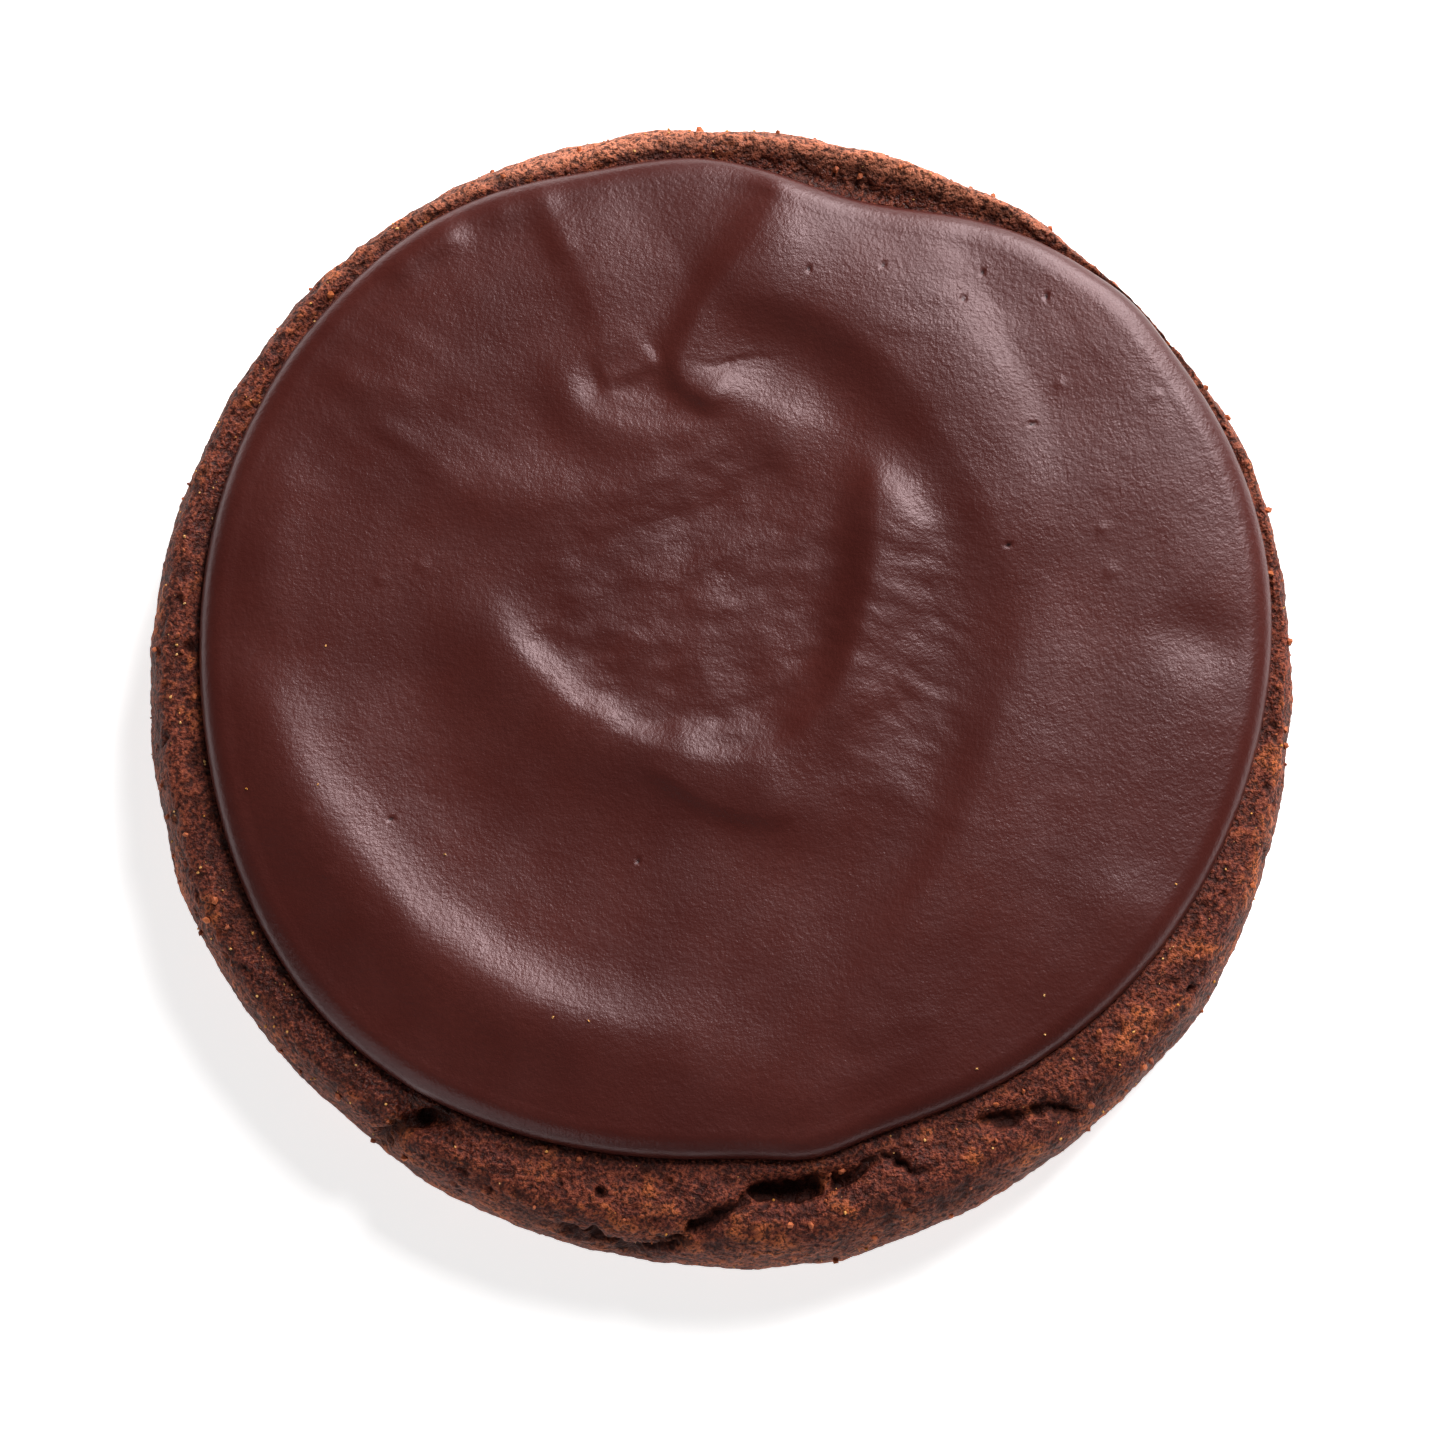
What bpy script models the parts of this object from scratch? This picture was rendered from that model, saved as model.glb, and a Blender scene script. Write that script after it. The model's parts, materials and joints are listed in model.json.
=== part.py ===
"""Mocha cookie: a thick round chocolate cookie with a spoon-swirled layer of mocha icing on its top.

The origin is the centre of the flat underside and +Z is up. Seen from above, +X is to the right and +Y away.
Lengths are in millimetres, angles in degrees anticlockwise from +X, until the meshes are made in metres.
"""
from collections import namedtuple

import bpy
import numpy as np
from mathutils import Vector, noise

MM = 0.001

# Cookie: plan radius, level of the bed that the icing lies on, level of the widest part of the side
COOKIE_RADIUS = 50.2
BED_HEIGHT = 11.0
SIDE_HEIGHT = 6.0
SIDE_LEVELS = (4.3, 2.6, 1.2, 0.4)
FOOT_RADIUS_SHARE = 0.905
FOOT_INSET_SHARE = 0.99
SIDE_FULLNESS = 2.6

# Crust round the icing: a bank rises beside the icing's edge to BANK_RISE above the bed, over BANK_RUN and up
# to BANK_OUTSET outside the edge; the crest lies at a share of the way to the side, CREST_RISE above the bed
BANK_RISE = 1.4
BANK_OUTSET = 0.1
BANK_RUN = 1.3
CREST_RISE = 1.5
CREST_PLACE = 0.46
SHOULDER_FULLNESS = 2.4

# Open crust: shares of the band over which it begins, its lumps, and the levels between which cracks deepen
OPEN_START = 0.06
OPEN_RUN = 0.2
CRAG_HEIGHT = 0.30
CRAG_LENGTH = 7.0
CRAG_OUTWARD_PLACE = 0.6
CRACK_LEVELS = (4.0, 10.0)

# Icing: plan radius, drift of its middle from the cookie's, thickness of its rounded edge and of its middle
ICING_RADIUS = 45.8
ICING_DRIFT = (1.3, 3.2)
ICING_GAP = 0.3
EDGE_THICKNESS = 3.0
EDGE_ROUND = 2.6
MIDDLE_RISE = 0.9
MIDDLE_RUN = 12.0
UNDERCUT = 0.9

# Fineness of the meshes: steps round the axis, rings on the crust's band and on the icing's top
COOKIE_STEPS = 120
BAND_START_SHARE = 0.86
BAND_RINGS = 14
BAND_CROWDING = 0.75
ICING_STEPS = 112
TOP_RINGS = 24

# Swells and dips of the two outlines: direction in degrees, half width, rise
Swell = namedtuple("Swell", "direction half_width rise")
COOKIE_SWELLS = (
    Swell(24, 14, 0.8),
    Swell(60, 8, 0.35),
    Swell(66, 4, -0.35),
    Swell(122, 36, 0.9),
    Swell(229, 10, -0.6),
    Swell(279, 13, 0.5),
    Swell(326, 5, 0.35),
)
ICING_SWELLS = (
    Swell(17, 25, 1.4),
    Swell(43, 5, 0.4),
    Swell(75, 16, -4.5),
    Swell(103, 12, -1.6),
    Swell(147, 41, 1.15),
    Swell(221, 29, 2.5),
    Swell(281, 6, 0.85),
    Swell(289, 34, -1.45),
)

# Crust round the icing: where its bank lies low, where its crest stands higher or lower or farther out
BANK_SWELLS = (
    Swell(25, 25, -0.5),
    Swell(72, 19, -2.1),
    Swell(148, 22, -1.1),
)
CREST_SWELLS = (
    Swell(25, 30, -0.5),
    Swell(74, 20, 0.5),
)
CREST_PLACE_SWELLS = (
    Swell(74, 22, 0.2),
)

# A stroke is a ridge along a smooth curve through its points, or a groove if its height is negative. Its two
# sides, left and right of the way it runs, have their own widths. It fades in and out over a share of its
# length, and its widths shrink to the last value's share at its far end.
Stroke = namedtuple("Stroke", "points height left right fade_in fade_out narrowing", defaults=(0.3, 0.3, 1.0))
SPOON_STROKES = (
    # Outer bowl: its floor, lower left wall, lower right wall, the swell beyond that, low left bank
    Stroke(((-28, 10.5), (-27, 0.5), (-24, -7.5), (-18, -14), (-10, -17), (0, -17.5)),
           -0.32, 5.0, 5.5, 0.25, 0.3),
    Stroke(((-41.7, 5.6), (-40, -2.4), (-36.6, -9.9), (-31.4, -17.4), (-25, -23.7), (-17.9, -28.2), (-10, -30.9),
            (-2, -31.6), (4, -31)), 0.85, 3.6, 4.8, 0.22, 0.35),
    Stroke(((5.5, -34.5), (9, -31.3), (13.6, -26.1), (17.3, -20.5), (20.2, -15.5), (22.9, -9.8), (25.2, -2.6),
            (27.4, 4.5), (29.5, 12.7)), 0.72, 3.0, 5.5, 0.4, 0.4),
    Stroke(((20.3, -28), (28.4, -19.9), (32.5, -7.7), (32.5, 7.6)), 0.25, 8.0, 7.0, 0.3, 0.5),
    Stroke(((-38.6, 1.5), (-39.6, 8.6), (-38.9, 16.7), (-36.6, 22.8)), 0.3, 4.0, 3.0),
    # Inner bowl: left and lower wall, floor, steep right wall, blob and step below it
    Stroke(((-21.4, 9.8), (-19.8, 5), (-17.3, 1.1), (-13.6, -2.3), (-9.8, -4.8), (-4.8, -6.8), (0.2, -7.6),
            (5, -6.9), (8.6, -3.9), (11.2, 0.4), (12.9, 6), (13.7, 11.6), (13.8, 17), (12.9, 22.5)),
           0.62, 2.3, 4.4, 0.14, 0.15),
    Stroke(((5, -6.9), (8.6, -3.9), (11.2, 0.4), (12.9, 6), (13.7, 11.6), (13.8, 17), (12.9, 22.5)),
           0.5, 2.7, 6.5, 0.3, 0.3),
    Stroke(((-11.2, 6.1), (-2, 2.5)), 0.25, 7.5, 7.5, 0.0, 0.0),
    Stroke(((6.4, -11), (10, -11), (13.6, -9.4)), 0.4, 4.2, 4.2, 0.0, 0.0),
    Stroke(((-8.5, -6.4), (-4.4, -8.4), (-1.3, -10.4), (1.4, -11.5), (5, -11.7), (8, -11)), 0.25, 4.0, 1.1),
    # Broad arch over the inner bowl, the crease beyond it and the shoulder near the edge
    Stroke(((-1.5, 32.6), (2.4, 34.4), (6.9, 34.1), (11.5, 31.6), (16.1, 27.3), (20.1, 21.9), (23.8, 15.7),
            (26.4, 8.6), (28.2, 2)), 0.7, 7.0, 3.1, 0.16, 0.3, 1.5),
    Stroke(((1.5, 29.4), (6.1, 27.9), (10.7, 24.4), (13.7, 21.3)), -0.26, 3.5, 3.0, 0.3, 0.4),
    Stroke(((20.3, 9.6), (28.4, 3.5)), 0.15, 6.0, 6.0, 0.0, 0.0),
    Stroke(((20.3, 43), (22.3, 38.5), (26, 31), (29.9, 21.5), (32, 14)), -0.34, 6.0, 2.7, 0.15, 0.4),
    Stroke(((26.4, 41.1), (32.5, 36.5), (37.6, 29.9), (40.6, 22.8), (42.2, 14.7)), 0.15, 3.5, 5.0, 0.25, 0.4),
    # Wedge at the top: right ridge ending in the hook, left crest, fold at its tip, bump under the hook
    Stroke(((8.6, 48.5), (6, 43.4), (4, 40.2), (1.7, 37.1), (-0.6, 33.6), (-2.7, 30.2), (-3.6, 28), (-2.8, 26.2),
            (-1.4, 25.2)), 0.6, 6.5, 2.9, 0.1, 0.0, 0.45),
    Stroke(((-14.2, 45), (-12.9, 40), (-11.4, 35), (-10, 31), (-8.6, 27.5)), 0.26, 5.0, 2.0, 0.25, 0.15),
    Stroke(((-10.8, 26), (-8, 27.2), (-5.2, 28.9)), 0.22, 2.0, 0.9, 0.2, 0.2),
    Stroke(((-1.5, 24.6), (1, 24.4), (3.8, 23), (6, 20.8)), 0.38, 2.8, 2.6, 0.15, 0.3),
    # Knob below the wedge and the band below the knob
    Stroke(((-9.5, 30.3), (-12.3, 28.4), (-13.3, 26), (-12.2, 23.6), (-9.3, 22.3), (-5, 21.9), (0, 22),
            (4.5, 21.6)), 0.38, 1.9, 2.6, 0.3, 0.35),
    Stroke(((-31.5, 21.3), (-25.4, 18.4), (-18.3, 16.3), (-11.2, 15.9), (-4.1, 17.7), (3, 21.3)),
           0.4, 3.6, 3.2, 0.3, 0.3),
    Stroke(((-31.5, 26.9), (-25.4, 26.9), (-19.3, 26.9)), 0.15, 5.0, 4.0, 0.0, 0.0),
    Stroke(((-7.1, 12.2), (0, 15.2), (7.1, 18.8)), -0.22, 3.0, 3.0, 0.3, 0.3),
    # Folds near the edge
    Stroke(((-30.5, 35.5), (-26.4, 38.6), (-21.3, 40.4)), 0.35, 2.0, 1.7),
    Stroke(((40.8, 4.1), (42.6, 3.4)), -0.3, 3.0, 2.8, 0.0, 0.0),
    Stroke(((34.5, -19.8), (38, -21)), 0.22, 2.8, 3.5, 0.0, 0.0),
)
CRACKS = (
    # Deep crease at the lower left, the long crack with its open pocket, and the cracks at the lower right
    Stroke(((-32.5, -41.3), (-29, -39.2), (-25.5, -37.8), (-21, -37.9)), -1.5, 1.5, 1.5, 0.1, 0.3),
    Stroke(((-16, -46.9), (-12, -48), (-8, -49.1), (-5, -49), (-2.8, -48), (-0.3, -46.6), (2, -45.2)),
           -0.9, 1.1, 1.1),
    Stroke(((1.2, -45), (3.6, -44.5), (6, -44.2), (9, -43.7), (13, -41.8)), -1.3, 1.2, 1.2),
    Stroke(((21.8, -38.5), (25.7, -38), (28.6, -37.1), (32, -37.6)), -0.6, 1.1, 1.1),
    # Long moist hollow between the icing and the crest at the upper right
    Stroke(((0, 47.5), (8, 46), (15, 44), (22, 42), (28, 38.5)), -0.5, 2.0, 2.0),
)


def swollen(radius, direction, swells):
    """Plan radius in each direction: the base radius with its swells and dips."""
    total = np.full_like(direction, radius)
    for swell in swells:
        away = (direction - swell.direction + 180) % 360 - 180
        total = total + swell.rise * np.exp(-(away / swell.half_width) ** 2)
    return total


def cookie_outline(direction):
    """Plan radius of the cookie's side at its widest level."""
    return swollen(COOKIE_RADIUS, direction, COOKIE_SWELLS)


def icing_outline(direction):
    """Plan radius of the icing's edge, measured from the cookie's middle."""
    turn = np.radians(direction)
    drift = ICING_DRIFT[0] * np.cos(turn) + ICING_DRIFT[1] * np.sin(turn)
    return swollen(ICING_RADIUS, direction, ICING_SWELLS) + drift


def smooth_curve(points, pieces=16):
    """Catmull-Rom curve through the points, as a row of positions."""
    knots = np.array(points, float)
    knots = np.vstack([2 * knots[0] - knots[1], knots, 2 * knots[-1] - knots[-2]])
    share = np.linspace(0, 1, pieces + 1)[:-1, None]
    rows = []
    for a, b, c, d in zip(knots, knots[1:], knots[2:], knots[3:]):
        bend = 2 * a - 5 * b + 4 * c - d
        twist = 3 * b - a - 3 * c + d
        rows.append(0.5 * (2 * b + (c - a) * share + bend * share ** 2 + twist * share ** 3))
    rows.append(knots[-2:-1])
    return np.vstack(rows)


def smoothstep(value):
    """0 to 1 with level ends."""
    value = np.clip(value, 0, 1)
    return value * value * (3 - 2 * value)


def stroke_height(x, y, stroke):
    """Height that one stroke adds at each place."""
    line = smooth_curve(stroke.points)
    reach = 3 * max(stroke.left, stroke.right)
    near = (x > line[:, 0].min() - reach) & (x < line[:, 0].max() + reach)
    near &= (y > line[:, 1].min() - reach) & (y < line[:, 1].max() + reach)
    height = np.zeros(x.shape)
    x = x[near]
    y = y[near]
    step = np.diff(line, axis=0)
    length = np.hypot(step[:, 0], step[:, 1])
    start = np.concatenate([[0], np.cumsum(length)])
    nearest = np.full(x.shape, np.inf)
    lean = np.zeros(x.shape)
    along = np.zeros(x.shape)
    for corner, (run_x, run_y), run, begun in zip(line, step, length, start):
        to_x = x - corner[0]
        to_y = y - corner[1]
        share = np.clip((to_x * run_x + to_y * run_y) / run ** 2, 0, 1)
        off_x = to_x - share * run_x
        off_y = to_y - share * run_y
        distance = np.hypot(off_x, off_y)
        closer = distance < nearest
        nearest = np.where(closer, distance, nearest)
        across = (run_x * off_y - run_y * off_x) / (run * np.maximum(distance, 1e-6))
        lean = np.where(closer, across, lean)
        along = np.where(closer, (begun + share * run) / start[-1], along)
    width = 0.5 * (stroke.left + stroke.right + (stroke.left - stroke.right) * lean)
    width = width * (1 + (stroke.narrowing - 1) * along)
    fade = np.ones(x.shape)
    if stroke.fade_in:
        fade = fade * smoothstep(along / stroke.fade_in)
    if stroke.fade_out:
        fade = fade * smoothstep((1 - along) / stroke.fade_out)
    height[near] = stroke.height * fade * np.exp(-(nearest / width) ** 2)
    return height


def strokes_height(x, y, strokes):
    """Height that all the strokes add together."""
    return sum(stroke_height(x, y, stroke) for stroke in strokes)


def turned_mesh(name, profile, steps):
    """Closed mesh of a profile, given as radius and height from the axis and back, turned about Z."""
    outline = bpy.data.meshes.new(name)
    outline.from_pydata([(radius, 0, height) for radius, height in profile], [(i, i + 1) for i in
                        range(len(profile) - 1)], [])
    holder = bpy.data.objects.new(name, outline)
    bpy.context.scene.collection.objects.link(holder)
    screw = holder.modifiers.new("Turn", "SCREW")
    screw.steps = steps
    screw.render_steps = steps
    screw.use_merge_vertices = True
    screw.merge_threshold = 0.0001
    mesh = bpy.data.meshes.new_from_object(holder.evaluated_get(bpy.context.evaluated_depsgraph_get()))
    bpy.data.objects.remove(holder)
    bpy.data.meshes.remove(outline)
    return mesh


def mesh_positions(mesh):
    """Vertex positions as rows of x, y, z."""
    flat = np.empty(len(mesh.vertices) * 3)
    mesh.vertices.foreach_get("co", flat)
    return flat.reshape(-1, 3)


def place_part(name, mesh, positions, material, collection):
    """Make the object in metres, smooth shaded, with its material."""
    mesh.vertices.foreach_set("co", (positions * MM).ravel())
    mesh.name = name
    mesh.update()
    mesh.shade_smooth()
    mesh.materials.clear()
    mesh.materials.append(material)
    part = bpy.data.objects.new(name, mesh)
    collection.objects.link(part)
    return part


def plain_material(name, colour, roughness):
    """Principled material with one colour."""
    material = bpy.data.materials.new(name)
    material.use_nodes = True
    shader = material.node_tree.nodes["Principled BSDF"]
    shader.inputs["Base Color"].default_value = (*colour, 1)
    shader.inputs["Roughness"].default_value = roughness
    shader.inputs["Metallic"].default_value = 0
    return material


def cookie_profile():
    """Nominal section from the middle of the bed, over the crest and down the side, to the middle below."""
    bed = [(share * COOKIE_RADIUS, BED_HEIGHT) for share in (0, 0.3, 0.6)]
    band = [(share * COOKIE_RADIUS, BED_HEIGHT) for share in np.linspace(BAND_START_SHARE, 1, BAND_RINGS)]
    side = [(COOKIE_RADIUS, height) for height in SIDE_LEVELS]
    foot = [(share * COOKIE_RADIUS, 0) for share in (FOOT_INSET_SHARE, 0.5, 0)]
    return bed + band + side + foot


def crust_section(place, room, direction):
    """Height of the crust over its band, from the icing's edge at place 0 to the widest level at place 1."""
    bank = swollen(BANK_RISE, direction, BANK_SWELLS)
    crest = swollen(CREST_RISE, direction, CREST_SWELLS)
    crest_place = swollen(CREST_PLACE, direction, CREST_PLACE_SWELLS)
    inner = BED_HEIGHT + bank * smoothstep((place * room - BANK_OUTSET) / BANK_RUN + 1)
    inner = inner + (crest - bank) * smoothstep(place / crest_place)
    drop = np.clip((place - crest_place) / (1 - crest_place), 0, 1)
    fall = 1 - np.sqrt(1 - drop ** SHOULDER_FULLNESS)
    return inner - (BED_HEIGHT + crest - SIDE_HEIGHT) * fall


def crags(x, y, z):
    """Uneven lumps of the crust."""
    return np.array([noise.noise(Vector(row) / CRAG_LENGTH) for row in zip(x, y, z)])


def build_cookie(collection):
    """The baked cookie: flat underneath, round side, raised cracked crest and a smooth bed for the icing."""
    mesh = turned_mesh("cookie", cookie_profile(), COOKIE_STEPS)
    nominal = mesh_positions(mesh)
    direction = np.degrees(np.arctan2(nominal[:, 1], nominal[:, 0])) % 360
    share = np.hypot(nominal[:, 0], nominal[:, 1]) / COOKIE_RADIUS
    outer = cookie_outline(direction)
    inner = icing_outline(direction)
    room = outer - inner
    on_top = nominal[:, 2] > SIDE_HEIGHT

    # On the top, the outer shares spread over the band between 1 mm inside the icing's edge and the side
    spread = np.clip((share - BAND_START_SHARE) / (1 - BAND_START_SHARE), 0, 1) ** BAND_CROWDING
    on_bed = share / BAND_START_SHARE * (inner - 1)
    top_radius = np.where(share < BAND_START_SHARE, on_bed, inner - 1 + spread * (room + 1))
    top_place = (top_radius - inner) / room
    top_height = crust_section(top_place, room, direction)

    # Below it, the side curves in to the flat underside
    low = np.clip(1 - nominal[:, 2] / SIDE_HEIGHT, 0, 1)
    curve_in = 1 - (1 - FOOT_RADIUS_SHARE) * (1 - np.sqrt(1 - low ** SIDE_FULLNESS))
    low_radius = share * outer * curve_in

    radius = np.where(on_top, top_radius, low_radius)
    turn = np.radians(direction)
    x = radius * np.cos(turn)
    y = radius * np.sin(turn)
    z = np.where(on_top, top_height, nominal[:, 2])

    # Cracks cut the open crust only, and lumps swell the crust and the side but not the bed or the underside
    open_crust = np.where(on_top, smoothstep((top_place - OPEN_START) / OPEN_RUN), 0)
    z = z + open_crust * strokes_height(x, y, CRACKS) * np.interp(z, CRACK_LEVELS, (0, 1))
    lump = CRAG_HEIGHT * crags(x, y, z)
    z = z + lump * open_crust
    outward = smoothstep((top_place - CRAG_OUTWARD_PLACE) / (1 - CRAG_OUTWARD_PLACE))
    swell = lump * np.where(on_top, outward, smoothstep(nominal[:, 2] / CRACK_LEVELS[0]))
    x = x + swell * np.cos(turn)
    y = y + swell * np.sin(turn)
    material = plain_material("Baked chocolate crust", (0.105, 0.032, 0.014), 0.75)
    return place_part("cookie", mesh, np.column_stack([x, y, z]), material, collection)


def icing_profile():
    """Nominal section from the middle of the top over the rounded edge and back underneath; the height is the
    share of the edge's thickness."""
    top = [(share * ICING_RADIUS, 1.0) for share in np.linspace(0, 1 - EDGE_ROUND / ICING_RADIUS, TOP_RINGS)]
    turns = np.radians((62, 38, 14, -12))
    edge = [((1 - EDGE_ROUND / ICING_RADIUS * (1 - np.cos(turn))) * ICING_RADIUS, 0.5 + 0.5 * np.sin(turn))
            for turn in turns]
    under = [(share * ICING_RADIUS, 0.0) for share in (1 - UNDERCUT / ICING_RADIUS, 0.6, 0.25, 0)]
    return top + edge + under


def build_icing(collection):
    """The icing: flat below, rounded at its uneven edge and swirled on top by a spoon."""
    mesh = turned_mesh("icing", icing_profile(), ICING_STEPS)
    nominal = mesh_positions(mesh)
    direction = np.degrees(np.arctan2(nominal[:, 1], nominal[:, 0])) % 360
    from_edge = ICING_RADIUS - np.hypot(nominal[:, 0], nominal[:, 1])
    inner_share = 1 - from_edge / ICING_RADIUS
    radius = inner_share * icing_outline(direction)
    turn = np.radians(direction)
    x = radius * np.cos(turn)
    y = radius * np.sin(turn)
    rise = MIDDLE_RISE * (1 - (1 - np.clip(from_edge / MIDDLE_RUN, 0, 1)) ** 2)
    relief = strokes_height(x, y, SPOON_STROKES) * smoothstep(from_edge / EDGE_ROUND)
    level = BED_HEIGHT + ICING_GAP + nominal[:, 2] * (EDGE_THICKNESS + rise + relief)
    material = plain_material("Mocha icing", (0.068, 0.022, 0.019), 0.42)
    return place_part("icing", mesh, np.column_stack([x, y, level]), material, collection)


def main():
    for old in list(bpy.context.scene.objects):
        bpy.data.objects.remove(old)
    collection = bpy.data.collections.new("Mocha cookie")
    bpy.context.scene.collection.children.link(collection)
    build_cookie(collection)
    build_icing(collection)


main()
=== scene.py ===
"""Mocha cookie: a baked chocolate crust, a spoon-swirled layer of mocha icing, grains, crumbs and a stage.

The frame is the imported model: origin at the centre of the flat underside, +Z up, +X right and +Y away as seen
from above. The forms below are worked out in millimetres and become metres where a mesh is made.
"""

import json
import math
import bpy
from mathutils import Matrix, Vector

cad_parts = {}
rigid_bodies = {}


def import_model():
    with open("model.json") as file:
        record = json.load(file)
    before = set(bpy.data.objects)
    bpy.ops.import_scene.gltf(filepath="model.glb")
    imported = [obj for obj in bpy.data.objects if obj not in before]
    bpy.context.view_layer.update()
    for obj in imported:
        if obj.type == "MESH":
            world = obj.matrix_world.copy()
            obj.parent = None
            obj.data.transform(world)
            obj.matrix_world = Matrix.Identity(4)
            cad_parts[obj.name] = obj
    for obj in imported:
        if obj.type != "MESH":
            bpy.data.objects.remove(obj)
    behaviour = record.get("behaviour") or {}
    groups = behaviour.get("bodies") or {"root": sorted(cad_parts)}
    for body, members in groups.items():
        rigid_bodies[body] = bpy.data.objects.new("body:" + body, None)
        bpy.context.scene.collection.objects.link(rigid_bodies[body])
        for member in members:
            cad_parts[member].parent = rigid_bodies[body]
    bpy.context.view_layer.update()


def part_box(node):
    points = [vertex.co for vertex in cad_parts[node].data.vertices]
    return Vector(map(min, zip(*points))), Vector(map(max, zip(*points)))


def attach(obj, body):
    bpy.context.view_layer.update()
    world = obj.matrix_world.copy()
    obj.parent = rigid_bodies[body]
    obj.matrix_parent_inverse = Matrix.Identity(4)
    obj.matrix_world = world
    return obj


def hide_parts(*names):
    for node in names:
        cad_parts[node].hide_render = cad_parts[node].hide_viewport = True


bl_info = {
    "name": "Mocha Cookie",
    "version": (1, 0, 0),
    "blender": (4, 5, 0),
    "location": "3D View > Sidebar > Cookie",
    "description": "Builds an iced chocolate cookie with its crust, swirled icing, grains, crumbs and studio",
    "category": "Add Mesh",
}

from collections import namedtuple

import bmesh
import bpy
import numpy as np
from bpy.props import FloatProperty, FloatVectorProperty, IntProperty, PointerProperty
from mathutils import Euler, Vector, noise

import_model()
ICING_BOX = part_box("icing")

MM = 0.001

# Cookie, as in the solids: plan radius, bed under the icing, level of the widest part of the side
COOKIE_RADIUS = 50.2
ICING_GAP = 0.3
BED_HEIGHT = ICING_BOX[0][2] / MM - ICING_GAP
SIDE_HEIGHT = 6.0
BANK_RISE = 1.4
BANK_OUTSET = 0.1
BANK_RUN = 1.3
CREST_RISE = 1.5
CREST_PLACE = 0.46
SHOULDER_FULLNESS = 2.4
SIDE_FULLNESS = 1.3
FOOT_RADIUS_SHARE = 0.905
CRAG_HEIGHT = 0.30
CRAG_LENGTH = 7.0
ICING_COVER = 1.2

# Places on the crust run from 0 at the icing over 1 at the widest level to 2 at the foot. Here is where the
# relief sets in, over what run, and from where the lumps also push outward.
OPEN_START = 0.06
OPEN_RUN = 0.2
CRAG_OUTWARD_PLACE = 0.6

# Levels between which cracks reach their full depth, and the place beyond which there are none
CRACK_LEVELS = (4.0, 10.0)
CRACK_LAST_PLACE = 1.3

# Fine relief of the crust: length and height of its swells, crumb and gaps, and how far cracks wander
SWELL_LENGTH = 3.1
SWELL_HEIGHT = 0.2
CRUMB_LENGTH = 0.95
CRUMB_HEIGHT = 0.15
GAP_LENGTH = 1.7
GAP_DEPTH = 0.05
DAMP_GAP_DEPTH = 0.15
WANDER_LENGTH = 1.5
WANDER = 0.5

# Damp of the crust, also painted darker as shade: all round, on its inner slope and right beside the icing
DAMP_AND_SHADE_ALL_ROUND = 0.12
SHADE_AND_DAMP_BESIDE_ICING = 0.3

# Icing, as in the solids: plan radius, drift of its middle, thickness of its rounded edge and of its middle
ICING_RADIUS = 45.8
ICING_DRIFT = (1.3, 3.2)
EDGE_THICKNESS = 3.0
EDGE_ROUND = 2.6
MIDDLE_RISE = 0.9
MIDDLE_RUN = 12.0
ICING_SINK = 0.15
EDGE_TUCK = -50

# Fineness of the two large meshes
CRUST_COLUMNS = 1040
CRUST_INNER_ROWS = 26
CRUST_SHOULDER_ROWS = 32
CRUST_SIDE_ROWS = 24
ICING_CELLS = 280
ICING_EDGE_ROWS = 12

# Camera of the photograph: looking almost straight down, from the -Y side
CAMERA_DIRECTION = -90.0
CAMERA_ELEVATION = 81.0
CAMERA_DISTANCE = 0.650
CAMERA_LENS = 184.7
CAMERA_SENSOR = 36
CAMERA_TARGET = (0.0, -0.0025, 0.008)

# Soft square lights: direction and elevation in degrees, distance and width in metres, tint
Light = namedtuple("Light", "name direction elevation distance width tint")
KEY_LIGHT = Light("key_light", 55, 53, 1.8, 0.50, (1.0, 0.97, 0.96))
LOW_LIGHT = Light("low_light", 60, 24, 1.8, 1.0, (1.0, 0.99, 0.98))
FILL_LIGHT = Light("fill_light", 235, 26, 1.8, 1.3, (1.0, 1.0, 1.0))

# Light table under the cookie: share of white that the floor gives off by itself
FLOOR_GLOW = 0.78

# Swells and dips of the two outlines: direction in degrees, half width, rise
Swell = namedtuple("Swell", "direction half_width rise")
COOKIE_SWELLS = (
    Swell(24, 14, 0.8), Swell(60, 8, 0.35), Swell(66, 4, -0.35), Swell(122, 36, 0.9),
    Swell(229, 10, -0.6), Swell(279, 13, 0.5), Swell(326, 5, 0.35),
)
ICING_SWELLS = (
    Swell(17, 25, 1.4), Swell(43, 5, 0.4), Swell(75, 16, -4.5), Swell(103, 12, -1.6),
    Swell(147, 41, 1.15), Swell(221, 29, 2.5), Swell(281, 6, 0.85), Swell(289, 34, -1.45),
)

# Crust round the icing: where its bank lies low, where its crest stands higher or lower or farther out
BANK_SWELLS = (Swell(25, 25, -0.5), Swell(72, 19, -1.1), Swell(148, 22, -0.7))
CREST_SWELLS = (Swell(25, 30, -0.5), Swell(74, 20, 0.1))
CREST_PLACE_SWELLS = (Swell(70, 15, 0.32), Swell(110, 15, -0.25))

# Where the crust is damp, with painted shade beside the icing and at the lower left away from the lights, and
# where its rim is painted paler as light on the side facing the lights, as shares
DAMP_AND_SHADE_SWELLS = (Swell(74, 17, 1.0), Swell(160, 12, 0.5), Swell(222, 22, 0.95), Swell(287, 16, 0.3))
LIT_RIM_SWELLS = (Swell(104, 24, 1.0), Swell(66, 16, 0.9), Swell(30, 14, 0.35))

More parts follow.
